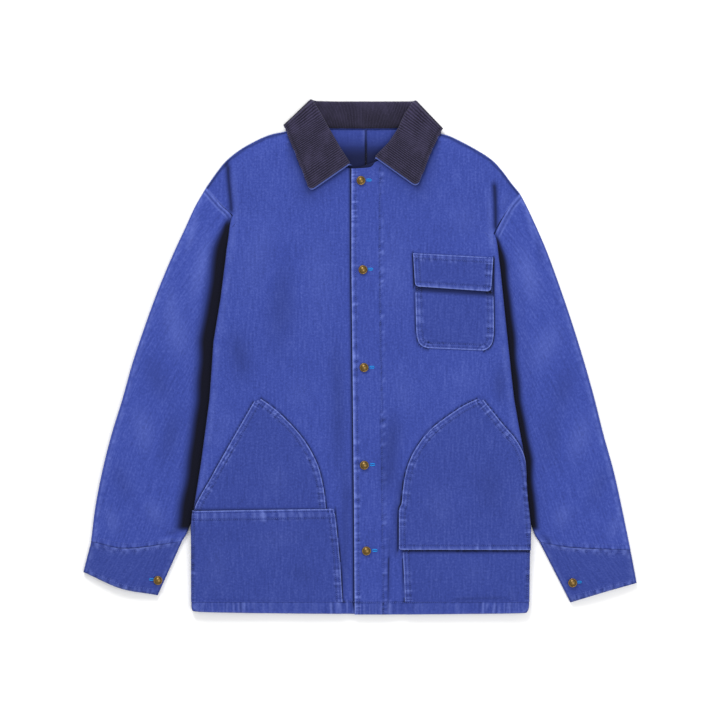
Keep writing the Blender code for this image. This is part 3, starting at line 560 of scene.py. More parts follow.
def turn_at(side, y):
    """Angle through which the cloth has rolled at the side edge."""
    drop = (fold_at(side, y, "crest") - fold_at(side, y, "under")) / EDGE_ROLL
    return np.arccos(np.clip(1.0 - drop, -1.0, 1.0))


def back_height(x, y):
    """Back panel: flat on the ground, raised over the sleeves and the collar."""
    height = np.full(np.shape(x), FLOOR)
    for side in ("right", "left"):
        sign = SIGN[side]
        seam = fold_at(side, y, "x") - sign * (EDGE_ROLL + fold_at(side, y, "tuck"))
        inner = np.array(SLEEVE_INNER[side])[::-1]
        sleeve = np.interp(y, inner[:, 1], inner[:, 0])
        plateau = np.maximum(0.0, sign * (seam - sleeve)) + 5.0
        inward = sign * (seam - x)
        pit = SLEEVE_INNER[side][0][1]
        lift = (fold_at(side, y, "under") - FLOOR) * ease((pit + 1.0 - y) / 18.0)
        height = np.maximum(height, FLOOR + lift * ease(1.0 - (inward - plateau) / 30.0))
    over_collar = ease((y - 262.0) / 34.0) * ease((158.0 - np.abs(x - 6.0)) / 30.0)
    return height + 3.55 * over_collar


def seam_list():
    """The seams that show on each front: its hem, and on the upper one the edge of
    the placket, the stitching of its facing and the facing's lower end."""
    edge = free_edge_path()
    hem_r = rounded(np.array(HEM["right"])[::-1], 50)
    hem_l = rounded(np.array(HEM["left"]), 50)
    return {
        "right": (Seam(hem_r, (18.5,), 19.0, 0.45, 0.16, 21, 8.0, 0.0, 0.4),),
        "left": (Seam(edge, (-6.0,), 7.0, 0.5, 0.23, 3, 12.0, 0.0, 1.2),
                 Seam(edge + np.array((43.0, 0.0)), (-1.0,), 5.0, 0.1, 0.19, 5, 15.0, 0.0, 0.0),
                 Seam(hem_l, (18.5,), 19.0, 0.45, 0.16, 22, 8.0, 0.0, 0.4)),
    }


SEAMS = seam_list()


def front_base(side, x, y):
    """Front panel over its own side: crest at the fold, easing to the middle."""
    sign = SIGN[side]
    inset = fold_at(side, y, "x") - sign * EDGE_ROLL
    inward = np.maximum(0.0, sign * (inset - x))
    middle = column(REST, REST_COLUMNS, "y", "height", y)
    height = middle + (fold_at(side, y, "crest") - middle) * np.exp(-(inward / 60.0) ** 2)
    near = np.exp(-(along(SHOULDER[side], x, y)[0] / 15.0) ** 2)
    height = height * (1 - near) + (back_height(x, y) + SHOULDER_LIFT) * near
    if side == "left":
        height = height + LAP_LIFT * ease((62.0 - x) / 26.0)
    return height


def front_height(side, x, y):
    """The front's height with its creases, swells and the relief of its seams."""
    height = front_base(side, x, y)
    calm = 1.0 - 0.8 * np.exp(-(along(SHOULDER[side], x, y)[0] / 16.0) ** 2)
    height = height + calm * creases(BODY_CREASES[side], x, y)
    height = height + calm * 0.55 * rumple(x, y, 11 if side == "left" else 12, 120.0)
    height = height + calm * 0.16 * rumple(x, y, 13 if side == "left" else 14, 34.0)
    for seam in SEAMS[side]:
        height = height + seam.relief(x, y)[0]
    low, high = POCKET_FEET[side]
    inside = ease((x - low) / 1.5) * ease((high - x) / 1.5)
    return height + (POCKET_LIFT + 0.3) * inside * ease((-378.0 - y) / 1.8)


def front_point(side, across, y, lift=0.0):
    """Point of the front at a spot measured on the cloth, rolled at the side: past
    the roll's start the cloth follows a circle, then runs flat back under."""
    sign = SIGN[side]
    inset = fold_at(side, y, "x") - sign * EDGE_ROLL
    past = sign * (across - inset)
    edge_height = front_height(side, inset, y)
    radius = EDGE_ROLL + lift
    most = turn_at(side, y)
    angle = np.clip(past / EDGE_ROLL, 0.0, most)
    tucked = np.maximum(0.0, past - most * EDGE_ROLL)
    on_top = past <= 0.0
    reach = EDGE_ROLL + 0.35 * lift
    x = np.where(on_top, across, inset + sign * (reach * np.sin(angle) - tucked))
    z = np.where(on_top, front_height(side, across, y) + lift,
                 edge_height - EDGE_ROLL + radius * np.cos(angle))
    return np.stack([x, y, z], axis=-1)


def side_seam(side, v):
    """Side edge of the front, on the flat cloth, from the hem to the shoulder."""
    sign = SIGN[side]
    hem_y = HEM[side][-1][1]
    y = hem_y + (ARMHOLE[side][0][1] - hem_y) * v
    inset = fold_at(side, y, "x") - sign * EDGE_ROLL
    past = EDGE_ROLL * turn_at(side, y) + fold_at(side, y, "tuck")
    return np.stack([inset + sign * past, y], axis=-1)


# ---------------------------------------------------------------- mesh building
def build_mesh(name, points, wall, nodes, cloth_map, marks, closed=False,
               flip=False):
    """Put a grid of points in mm into a mesh with its cloth map and its marks."""
    rows, columns = points.shape[:2]
    flat = points.reshape(-1, 3).copy()
    flat[:, 0] -= CENTRE_X
    flat[:, 1] -= CENTRE_Y
    index = np.arange(rows * columns).reshape(rows, columns)
    if closed:
        index = np.concatenate([index, index[:, :1]], axis=1)
    quads = np.stack([index[:-1, :-1], index[:-1, 1:], index[1:, 1:], index[1:, :-1]],
                     axis=-1).reshape(-1, 4)
    if flip:
        quads = quads[:, ::-1]
    mesh = bpy.data.meshes.new(name + "_cloth")
    mesh.vertices.add(len(flat))
    mesh.vertices.foreach_set("co", (flat * MM).ravel())
    mesh.loops.add(quads.size)
    mesh.loops.foreach_set("vertex_index", quads.ravel())
    mesh.polygons.add(len(quads))
    mesh.polygons.foreach_set("loop_start", np.arange(len(quads)) * 4)
    mesh.polygons.foreach_set("use_smooth", np.ones(len(quads), dtype=bool))
    mesh.update(calc_edges=True)
    layer = mesh.uv_layers.new(name="cloth")
    spread = cloth_map.reshape(-1, 2)[quads.ravel()] * MM
    layer.data.foreach_set("uv", spread.ravel())
    for mark, values in marks.items():
        made = mesh.attributes.new(mark, 'FLOAT', 'POINT')
        made.data.foreach_set("value", np.ascontiguousarray(values, dtype=float).ravel())
    mesh.validate()
    piece = bpy.data.objects.new(name + "_cloth", mesh)
    bpy.context.scene.collection.objects.link(piece)
    if wall > 0:
        shell = piece.modifiers.new("wall", 'SOLIDIFY')
        shell.thickness = wall
        shell.offset = 0.0
    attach(piece, "root")
    if nodes:
        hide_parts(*nodes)
    return piece


def round_corner(points, row, column, radius):
    """Round one corner of a sheet: near it, square steps along the two edges are
    pressed onto a quarter circle."""
    corner = points[row, column, :2].copy()
    inner_row = 5 if row == 0 else -6
    inner_column = 5 if column == 0 else -6
    first = points[inner_row, column, :2] - corner
    second = points[row, inner_column, :2] - corner
    first, second = first / np.hypot(*first), second / np.hypot(*second)
    frame_in = np.linalg.inv(np.stack([first, second], axis=1))
    a, b = np.einsum("ij,rcj->irc", frame_in, points[..., :2] - corner)
    near = (a < radius) & (b < radius)
    p = np.clip((radius - a) / radius, 0.0, 1.0)
    q = np.clip((radius - b) / radius, 0.0, 1.0)
    da = radius * (p - p * np.sqrt(1.0 - q * q / 2.0))
    db = radius * (q - q * np.sqrt(1.0 - p * p / 2.0))
    shift = da[..., None] * first + db[..., None] * second
    points[..., :2] += np.where(near[..., None], shift, 0.0)
    return points


def crowded(count, strength=0.6):
    """Shares from 0 to 1 that stand closer together at both ends: t less a sine."""
    t = np.linspace(0.0, 1.0, count + 1)
    return t - strength * np.sin(2 * math.pi * t) / (2 * math.pi)


def share_rows(length):
    return max(2, int(round(length * MM / sizes().mesh)))


# ---------------------------------------------------------------- materials
def socket(group, name, kind, way, default=None):
    made = group.interface.new_socket(name=name, in_out=way, socket_type=kind)
    if default is not None:
        made.default_value = default
    return made


def tree_tools(tree):
    def add(kind, **values):
        node = tree.nodes.new(kind)
        for key, value in values.items():
            setattr(node, key, value)
        return node

    def link(a, b):
        tree.links.new(a, b)

    return add, link


def maths(add, link, operation, first, second=None, clamp=False):
    node = add("ShaderNodeMath", operation=operation, use_clamp=clamp)
    for k, value in enumerate((first, second)):
        if value is None:
            continue
        if isinstance(value, (int, float)):
            node.inputs[k].default_value = value
        else:
            link(value, node.inputs[k])
    return node.outputs[0]


def blend_colour(add, link, factor, first, second, kind='MIX'):
    node = add("ShaderNodeMix", data_type='RGBA', blend_type=kind, clamp_factor=True)
    for value, port in ((factor, node.inputs[0]), (first, node.inputs[6]),
                        (second, node.inputs[7])):
        if isinstance(value, (int, float)):
            port.default_value = value
        elif isinstance(value, tuple):
            port.default_value = value
        else:
            link(value, port)
    return node.outputs[2]


def washed_twill_group():
    """Twill worn by washing: streaks down the warp, a fine mottle, the diagonal of
    the weave, worn pale ridges, and painted shade from the shade mark, near-black in the deepest
    folds."""
    group = bpy.data.node_groups.get("washed twill")
    if group:
        return group
    group = bpy.data.node_groups.new("washed twill", 'ShaderNodeTree')
    socket(group, "Cloth Map", 'NodeSocketVector', 'INPUT')
    socket(group, "Main", 'NodeSocketColor', 'INPUT', (0.05, 0.08, 0.37, 1.0))
    socket(group, "Faded", 'NodeSocketColor', 'INPUT', (0.13, 0.18, 0.56, 1.0))
    socket(group, "Dark_Tone_And_Painted_Shade", 'NodeSocketColor', 'INPUT', (0.02, 0.03, 0.16, 1.0))
    socket(group, "Painted_Fold_Shade", 'NodeSocketColor', 'INPUT', (0.002, 0.002, 0.01, 1.0))
    socket(group, "Wear", 'NodeSocketFloat', 'INPUT', 0.0)
    socket(group, "Shade", 'NodeSocketFloat', 'INPUT', 0.0)
    socket(group, "Color", 'NodeSocketColor', 'OUTPUT')
    socket(group, "Roughness", 'NodeSocketFloat', 'OUTPUT')
    socket(group, "Height", 'NodeSocketFloat', 'OUTPUT')
    add, link = tree_tools(group)
    given = add("NodeGroupInput")
    out = add("NodeGroupOutput")
    streak_map = add("ShaderNodeMapping")
    streak_map.inputs["Scale"].default_value = (330.0, 34.0, 1.0)
    link(given.outputs["Cloth Map"], streak_map.inputs["Vector"])
    streak = add("ShaderNodeTexNoise")
    streak.inputs["Scale"].default_value = 1.0
    streak.inputs["Detail"].default_value = 4.0
    link(streak_map.outputs[0], streak.inputs["Vector"])
    mottle = add("ShaderNodeTexNoise")
    mottle.inputs["Scale"].default_value = 300.0
    mottle.inputs["Detail"].default_value = 5.0
    mottle.inputs["Roughness"].default_value = 0.7
    link(given.outputs["Cloth Map"], mottle.inputs["Vector"])
    cloud = add("ShaderNodeTexNoise")
    cloud.inputs["Scale"].default_value = 9.0
    cloud.inputs["Detail"].default_value = 3.0
    link(given.outputs["Cloth Map"], cloud.inputs["Vector"])
    turn = add("ShaderNodeMapping")
    turn.inputs["Rotation"].default_value = (0.0, 0.0, math.radians(58.0))
    link(given.outputs["Cloth Map"], turn.inputs["Vector"])
    rib = add("ShaderNodeTexWave", wave_type='BANDS', bands_direction='X')
    rib.inputs["Scale"].default_value = 260.0
    rib.inputs["Distortion"].default_value = 1.6
    rib.inputs["Detail"].default_value = 2.0
    link(turn.outputs[0], rib.inputs["Vector"])
    a = maths(add, link, 'MULTIPLY', maths(add, link, 'SUBTRACT', streak.outputs[0], 0.5), 0.95)
    b = maths(add, link, 'MULTIPLY', maths(add, link, 'SUBTRACT', mottle.outputs[0], 0.5), 1.9)
    c = maths(add, link, 'MULTIPLY', maths(add, link, 'SUBTRACT', cloud.outputs[0], 0.5), 0.34)
    d = maths(add, link, 'MULTIPLY', maths(add, link, 'SUBTRACT', rib.outputs[1], 0.5), 0.07)
    total = maths(add, link, 'ADD', maths(add, link, 'ADD', a, b),
                  maths(add, link, 'ADD', c, d))
    paler = maths(add, link, 'MULTIPLY', total, 0.5, clamp=True)
    darker = maths(add, link, 'MULTIPLY', total, -1.0, clamp=True)
    tone = blend_colour(add, link, paler, given.outputs["Main"], given.outputs["Faded"])
    tone = blend_colour(add, link, darker, tone, given.outputs["Dark_Tone_And_Painted_Shade"])
    grit = maths(add, link, 'ADD', maths(add, link, 'MULTIPLY', mottle.outputs[0], 0.9), 0.55)
    wear = maths(add, link, 'MULTIPLY', given.outputs["Wear"], grit, clamp=True)
    tone = blend_colour(add, link, wear, tone, given.outputs["Faded"])
    # painted shade: the shade mark darkens the twill towards the deep colour
    shade = maths(add, link, 'MULTIPLY', given.outputs["Shade"], 1.6, clamp=True)
    tone = blend_colour(add, link, shade, tone, given.outputs["Dark_Tone_And_Painted_Shade"])
    # painted shade: past 0.55 the shade mark goes on towards the near-black fold colour
    deepest = maths(add, link, 'MULTIPLY',
                    maths(add, link, 'SUBTRACT', given.outputs["Shade"], 0.55), 2.3, clamp=True)
    tone = blend_colour(add, link, deepest, tone, given.outputs["Painted_Fold_Shade"])
    link(tone, out.inputs["Color"])
    rough = maths(add, link, 'ADD', maths(add, link, 'MULTIPLY', mottle.outputs[0], 0.12), 0.80)
    link(rough, out.inputs["Roughness"])
    height = maths(add, link, 'ADD', maths(add, link, 'MULTIPLY', rib.outputs[1], 0.35),
                   maths(add, link, 'MULTIPLY', mottle.outputs[0], 0.9))
    height = maths(add, link, 'ADD', height,
                   maths(add, link, 'MULTIPLY', streak.outputs[0], 0.5))
    link(height, out.inputs["Height"])
    return group


def attribute(add, name):
    node = add("ShaderNodeAttribute", attribute_type='GEOMETRY', attribute_name=name)
    return node.outputs["Fac"]


def twill_material(name="washed twill cloth", tone=1.0):
    """Washed twill: the twill group read on the cloth map, with wear marks and painted shade marks."""
    found = bpy.data.materials.get(name)
    if found:
        return found
    made = bpy.data.materials.new(name)
    made.use_nodes = True
    tree = made.node_tree
    add, link = tree_tools(tree)
    shader = tree.nodes["Principled BSDF"]
    group = add("ShaderNodeGroup")
    group.node_tree = washed_twill_group()
    cloth_map = add("ShaderNodeUVMap", uv_map="cloth")
    link(cloth_map.outputs[0], group.inputs["Cloth Map"])
    c = colours()
    group.inputs["Main"].default_value = tuple(v * tone for v in c.twill) + (1.0,)
    group.inputs["Faded"].default_value = tuple(v * tone for v in c.faded) + (1.0,)
    group.inputs["Dark_Tone_And_Painted_Shade"].default_value = tuple(v * tone for v in c.deep) + (1.0,)
    group.inputs["Painted_Fold_Shade"].default_value = tuple(c.fold) + (1.0,)
    link(attribute(add, "wear"), group.inputs["Wear"])
    link(attribute(add, "shade"), group.inputs["Shade"])
    link(group.outputs["Color"], shader.inputs["Base Color"])
    link(group.outputs["Roughness"], shader.inputs["Roughness"])
    bump = add("ShaderNodeBump")
    bump.inputs["Strength"].default_value = 0.45
    bump.inputs["Distance"].default_value = 0.0006
    link(group.outputs["Height"], bump.inputs["Height"])
    link(bump.outputs[0], shader.inputs["Normal"])
    shader.inputs["Sheen Weight"].default_value = 0.05
    shader.inputs["Sheen Roughness"].default_value = 0.6
    shader.inputs["Specular IOR Level"].default_value = 0.12
    return made


def corduroy_material():
    """Fine corduroy: ribs along the cloth map's first axis, worn pale on the ribs, with painted shade
    in the troughs between them and where the shade mark lies.
    """
    found = bpy.data.materials.get("fine corduroy")
    if found:
        return found
    made = bpy.data.materials.new("fine corduroy")
    made.use_nodes = True
    tree = made.node_tree
    add, link = tree_tools(tree)
    shader = tree.nodes["Principled BSDF"]
    cloth_map = add("ShaderNodeUVMap", uv_map="cloth")
    ribs = add("ShaderNodeTexWave", wave_type='BANDS', bands_direction='X',
               wave_profile='SIN')
    ribs.inputs["Scale"].default_value = 0.314 / sizes().wale
    ribs.inputs["Distortion"].default_value = 1.5
    ribs.inputs["Detail"].default_value = 2.0
    ribs.inputs["Detail Scale"].default_value = 1.5
    link(cloth_map.outputs[0], ribs.inputs["Vector"])
    nap = add("ShaderNodeTexNoise")
    nap.inputs["Scale"].default_value = 520.0
    nap.inputs["Detail"].default_value = 4.0
    link(cloth_map.outputs[0], nap.inputs["Vector"])
    patchy = add("ShaderNodeTexNoise")
    patchy.inputs["Scale"].default_value = 40.0
    patchy.inputs["Detail"].default_value = 3.0
    link(cloth_map.outputs[0], patchy.inputs["Vector"])
    main = tuple(colours().corduroy) + (1.0,)
    # low: the colour of painted shade, in the rib troughs and under the shade mark
    low = tuple(v * 0.22 for v in colours().corduroy) + (1.0,)
    high = tuple(v * 2.3 for v in colours().corduroy) + (1.0,)
    tone = blend_colour(add, link, ribs.outputs[1], low, main)
    lift = maths(add, link, 'MULTIPLY', maths(add, link, 'SUBTRACT', nap.outputs[0], 0.38), 2.0,
                 clamp=True)
    lift = maths(add, link, 'MULTIPLY', lift, ribs.outputs[1])
    tone = blend_colour(add, link, lift, tone, high)
    rub = maths(add, link, 'MULTIPLY', maths(add, link, 'SUBTRACT', patchy.outputs[0], 0.45), 1.2,
                clamp=True)
    tone = blend_colour(add, link, rub, tone, high)
    wear = maths(add, link, 'MULTIPLY', attribute(add, "wear"), nap.outputs[0], clamp=True)
    tone = blend_colour(add, link, wear, tone, high)
    # painted shade from the shade mark
    tone = blend_colour(add, link, attribute(add, "shade"), tone, low)
    link(tone, shader.inputs["Base Color"])
    shader.inputs["Roughness"].default_value = 0.92
    shader.inputs["Sheen Weight"].default_value = 0.10
    shader.inputs["Sheen Roughness"].default_value = 0.5
    shader.inputs["Specular IOR Level"].default_value = 0.15
    bump = add("ShaderNodeBump")
    bump.inputs["Strength"].default_value = 0.8
    bump.inputs["Distance"].default_value = 0.0009
    height = maths(add, link, 'ADD', ribs.outputs[1],
                   maths(add, link, 'MULTIPLY', nap.outputs[0], 0.35))
    link(height, bump.inputs["Height"])
    link(bump.outputs[0], shader.inputs["Normal"])
    return made


def thread_material(name, main, lift):
    """Twisted thread: a fine noise over the thread's own colour."""
    found = bpy.data.materials.get(name)
    if found:
        return found
    made = bpy.data.materials.new(name)
    made.use_nodes = True
    tree = made.node_tree
    add, link = tree_tools(tree)
    shader = tree.nodes["Principled BSDF"]
    place = add("ShaderNodeTexCoord")
    noise = add("ShaderNodeTexNoise")
    noise.inputs["Scale"].default_value = 900.0
    link(place.outputs["Object"], noise.inputs["Vector"])
    tone = blend_colour(add, link, noise.outputs[0], tuple(v * 0.7 for v in main) + (1.0,),
                        tuple(min(1.0, v * lift) for v in main) + (1.0,))
    link(tone, shader.inputs["Base Color"])
    shader.inputs["Roughness"].default_value = 0.7
    return made


def brass_material():
    """Handled brass: bright on the high metal, brown in the hollows, finely marked."""
    found = bpy.data.materials.get("handled brass")
    if found:
        return found
    made = bpy.data.materials.new("handled brass")
    made.use_nodes = True
    tree = made.node_tree
    add, link = tree_tools(tree)
    shader = tree.nodes["Principled BSDF"]
    place = add("ShaderNodeTexCoord")
    noise = add("ShaderNodeTexNoise")
    noise.inputs["Scale"].default_value = 700.0
    noise.inputs["Detail"].default_value = 5.0
    link(place.outputs["Object"], noise.inputs["Vector"])
    hollow = attribute(add, "shade")
    mix = maths(add, link, 'ADD', hollow,
                maths(add, link, 'MULTIPLY', maths(add, link, 'SUBTRACT', noise.outputs[0], 0.5), 0.9),
                clamp=True)
    tone = blend_colour(add, link, mix, tuple(colours().brass) + (1.0,),
                        tuple(colours().patina) + (1.0,))
    link(tone, shader.inputs["Base Color"])
    shader.inputs["Metallic"].default_value = 0.9
    rough = maths(add, link, 'ADD', maths(add, link, 'MULTIPLY', noise.outputs[0], 0.25), 0.26)
    link(rough, shader.inputs["Roughness"])
    bump = add("ShaderNodeBump")
    bump.inputs["Strength"].default_value = 0.25
    bump.inputs["Distance"].default_value = 0.0002
    link(noise.outputs[0], bump.inputs["Height"])
    link(bump.outputs[0], shader.inputs["Normal"])
    return made


def finish_piece(piece, made):
    piece.data.materials.append(made)
    return piece


# ---------------------------------------------------------------- cloth surfaces
def spaced(points):
    """Cloth map of a tube: the run round it and along it, in mm of cloth."""
    across = np.linalg.norm(np.diff(points, axis=1), axis=-1)
    down = np.linalg.norm(np.diff(points, axis=0), axis=-1)
    u = np.concatenate([np.zeros((points.shape[0], 1)), np.cumsum(across, axis=1)], axis=1)
    v = np.concatenate([np.zeros((1, points.shape[1])), np.cumsum(down, axis=0)], axis=0)
    middle = points.shape[1] // 2
    u = u - u[:, middle:middle + 1]
    v = v[:, middle:middle + 1] + 0.0 * u
    return np.stack([u, v], axis=-1)


# where the fold beside the body begins, below the shown end of the armhole seam
PIT_TOP = {"right": 224.0, "left": 198.0}
# width of its painted near-black shade, and how far that painted shade spreads on the sleeve, in mm
PIT_PAINTED_SHADE_CORE = {"right": 12.5, "left": 6.5}
PIT_PAINTED_SHADE_SPREAD = {"right": 17.0, "left": 9.0}


def painted_valley_shade(side, x, y):
    """Painted shade in the fold beside the body: 1 in the hollow, fading out on the sleeve."""
    sign = SIGN[side]
    fold_x = fold_at(side, y, "x")
    beyond = sign * (x - fold_x)
    wide = PIT_PAINTED_SHADE_CORE[side] * ease((PIT_TOP[side] + 10.0 - y) / 70.0) + 1.2 * waver(y, 41, 160.0)
    ends = ease((y + 276.0) / 14.0) * ease((PIT_TOP[side] - y) / 22.0)
    fade = 4.0 + PIT_PAINTED_SHADE_SPREAD[side] * ease((PIT_TOP[side] + 6.0 - y) / 60.0)
    return ease(1.0 - (beyond - wide) / fade) * ends


def patch_outline(row, x, y):
    """Distance outside a patch's sides: from its left edge leftwards and from its
    right edge rightwards, large anywhere else."""
    result = np.full(np.shape(x), 1e3)
    for points, way in ((row[3], 1.0), (row[4], -1.0)):
        line = rounded(points, 60)
        gap, _, side = along(line, x, y)
        beside = (side * way < 0) | (gap < 0.4)
        result = np.where(beside, np.minimum(result, gap), result)
    return result


def front_marks(side, across, y):
    """Paleness and painted shade of a front: worn pale on the raised seams; painted shade in
    its grooves and where the side rolls under, painted shadow where a flap or the collar covers it."""
    wear = np.zeros(y.shape)
    shade = np.zeros(y.shape)
    # a seam's paleness below zero is painted shade in its stitch grooves and pucker troughs
    for seam in SEAMS[side]:
        pale = seam.relief(across, y)[1]
        wear += np.clip(pale, 0.0, 1.0)
        shade += np.clip(-pale, 0.0, 1.0)
    # crease ridges worn pale; painted shade in the crease troughs
    folds = creases(BODY_CREASES[side], across, y)
    wear += np.clip(folds * 0.06, 0.0, 0.25)
    shade += np.clip(-folds * 0.25, 0.0, 0.8)
    sign = SIGN[side]
    inset = fold_at(side, y, "x") - sign * EDGE_ROLL
    past = sign * (across - inset)
    # painted shade where the side rolls under
    rolled = ease((past - 2.5) / 6.0) * ease((y + 400.0) / 60.0)
    shade += 0.9 * rolled
    rim = np.exp(-((past + 3.0) / 4.0) ** 2) * ease((235.0 - y) / 30.0)
    wear += 0.16 * rim * (0.6 + 0.4 * waver(y, 8, 60.0))
    # darker across the hem band
    hem = along(rounded(HEM[side], 40), across, y)[0]
    shade += 0.10 * ease((20.0 - hem) / 2.0)
    # a thin dark line just inside the shoulder edge and a pale line on it
    shoulder = along(SHOULDER[side], across, y)[0]
    shade += 0.8 * np.exp(-((shoulder - 2.6) / 1.4) ** 2)
    wear += 0.5 * np.exp(-(shoulder / 1.0) ** 2)
    hole = along(ARMHOLE[side][:3], across, y)[0]
    wear += 0.55 * np.exp(-(hole / 1.5) ** 2) * ease((y - 200.0) / 12.0)
    # painted shadow of the collar's outer edge on the front
    leaf = along(COLLAR_EDGE[side], across, y)[0]
    under = np.abs(across - 6.0) < 118.0
    shade += (0.36 * np.exp(-(leaf / 6.0) ** 2) + 0.20 * np.exp(-(leaf / 20.0) ** 2)) * under
    # painted shadow beside the sides of each patch, wider and stronger below the arched flap
    for row in PATCHES:
        if row[1] == side:
            gap = patch_outline(row, across, y)
            lower = ease((row[3][0][1] - 90.0 - y) / 60.0) if row[0] == "arched_flap" else 0.0
            shade += 0.85 * np.exp(-(gap / 2.2) ** 2)
            shade += (0.10 + 0.3 * lower) * np.exp(-(gap / (4.0 + 5.0 * lower)) ** 2)
    if side == "right":
        # painted shadow on the right front beside and under the left front's lapping edge
        lap = across - np.interp(y, *np.array(FREE_EDGE["left"])[:, ::-1].T)
        shade += 0.85 * np.exp(-(np.minimum(lap + 1.0, 0.0) / 2.6) ** 2) * ease((y + 400) / 20)
    else:
        # a thin dark line down the facing's edge above the hem
        facing = np.exp(-((across - 45.0) / 0.8) ** 2) * ease((-306.0 - y) / 8.0)
        shade += 0.55 * facing
    return {"wear": np.clip(wear, 0.0, 1.0), "shade": np.clip(shade, 0.0, 1.0)}


def front_sheet(side):
    """Front panel: four cut edges blended into a sheet, lifted by the body's height
    and rolled round the side into its seam."""
    v = crowded(share_rows(ARMHOLE[side][0][1] - HEM[side][-1][1]), 0.4)
    seam = side_seam(side, v)
    free = walk(FREE_EDGE[side], v)
    width = np.abs(seam[:, 0] - free[:, 0])
    inset = fold_at(side, seam[:, 1], "x") - SIGN[side] * EDGE_ROLL
    past = SIGN[side] * (seam[:, 0] - inset)
    least = 2.0
    rolled = np.clip(past, least, np.maximum(turn_at(side, seam[:, 1]) * EDGE_ROLL, least))
    tucked = np.maximum(past - rolled, least)
    u1 = (1.0 - (rolled + tucked) / width)[:, None]
    u2 = (1.0 - tucked / width)[:, None]
    flat = crowded(share_rows(width.mean() * 1.1), 0.5)[None, :-1]
    turned = np.linspace(0.0, 1.0, 9)[None, :-1]
    under = np.linspace(0.0, 1.0, 7)[None, :]
    u = np.concatenate([u1 * flat, u1 + (u2 - u1) * turned, u2 + (1.0 - u2) * under], axis=1)
    v = np.repeat(v[:, None], u.shape[1], axis=1)
    hem = walk(rounded(HEM[side], 80), u)
    hem[..., 0] += (seam[0, 0] - HEM[side][-1][0]) * u ** 12
    top = walk(np.concatenate([rounded(NECKLINE[side], 60), rounded(SHOULDER[side], 60)[1:]]),
               u)
    left = np.repeat(free[:, None, :], u.shape[1], axis=1)
    right = np.repeat(seam[:, None, :], u.shape[1], axis=1)
    plan = patch(hem, top, left, right, u, v)
    x, y = plan[..., 0], plan[..., 1]
    return front_point(side, x, y), plan, front_marks(side, x, y)


def back_sheet(side):
    """Half of the back: its cut edges blended into a sheet that lies on the ground
    and rises over the sleeves and the collar."""
    sign = SIGN[side]
    pit_x, pit_y = ARMHOLE[side][-1]
    hem_y = HEM[side][-1][1]
    v = np.linspace(0.0, 1.0, share_rows(ARMHOLE[side][0][1] - hem_y) + 1)
    seam_y = np.linspace(hem_y, pit_y - 22.0, 11)
    seam_x = fold_at(side, seam_y, "x") - sign * (EDGE_ROLL + 0.7
                                                   + fold_at(side, seam_y, "tuck")
                                                   + 4.0 * ease((seam_y + 80.0) / 50.0))
    lower = list(zip(seam_x, seam_y))
    lower.append((pit_x - sign * 6.0, pit_y - 8.0))
    hole = [(x - sign * 1.05, y - 0.35) for x, y in ARMHOLE[side][::-1]]
    hole[0] = (pit_x - sign * 1.6, pit_y + 3.0)
    edge = np.array(lower + hole)
    rows_y = hem_y + (ARMHOLE[side][0][1] - hem_y) * v
    outer = np.stack([np.interp(rows_y, edge[:, 1], edge[:, 0]), rows_y], axis=-1)
    seam_side = BACK_SEAM_X + sign * 0.1
    neck_y = NECK_BACK[3][1] - 0.4
    centre = np.stack([np.full_like(v, seam_side),
                       HEM["right"][0][1] + (neck_y - HEM["right"][0][1]) * v], axis=-1)
    columns = share_rows(250.0)
    u = np.repeat(np.linspace(0.0, 1.0, columns + 1)[None, :], len(v), axis=0)
    v = np.repeat(v[:, None], columns + 1, axis=1)
    hem = walk([(seam_side, HEM["right"][0][1])] + [tuple(edge[0])], u)
    neck = sorted([p for p in NECK_BACK if sign * (p[0] - BACK_SEAM_X) > 1.0],
                  key=lambda p: sign * p[0])
    line = [(seam_side, neck_y)] + [(x, y - 0.4) for x, y in neck]
    line += [(x, y - 0.4) for x, y in SHOULDER[side][1:]]
    line[-1] = tuple(edge[-1])
    top = walk(line, u)
    left = np.repeat(centre[:, None, :], columns + 1, axis=1)
    right = np.repeat(outer[:, None, :], columns + 1, axis=1)
    plan = patch(hem, top, left, right, u, v)
    x, y = plan[..., 0], plan[..., 1]
    inside = ease((y - 262.0) / 30.0)
    off = sign * (x - seam_side)
    swell = 0.5 * rumple(x, y, 31, 60.0) + 0.3
    z = back_height(x, y) + inside * (swell + 0.25 * rumple(x, y, 35, 26.0))
    # painted shade on the back's inside where it shows through the neck: darker towards the bottom of
    # the opening and away from the middle, across the whole width above y 262
    beside = ease((np.abs(x - 6.0) - 34.0) / 30.0)
    shade = inside * (0.20 + 0.66 * ease((350.0 - y) / 44.0) + 0.2 * beside)
    # darker in a thin line along the centre seam
    shade = shade + 0.45 * inside * np.exp(-(off / 1.4) ** 2)
    wear = 0.35 * inside * np.exp(-((off - 3.4) / 1.6) ** 2) * (sign < 0)
    spread = np.stack([x, y, z], axis=-1)
    return spread, plan, {"wear": wear, "shade": np.clip(shade, 0.0, 1.0)}


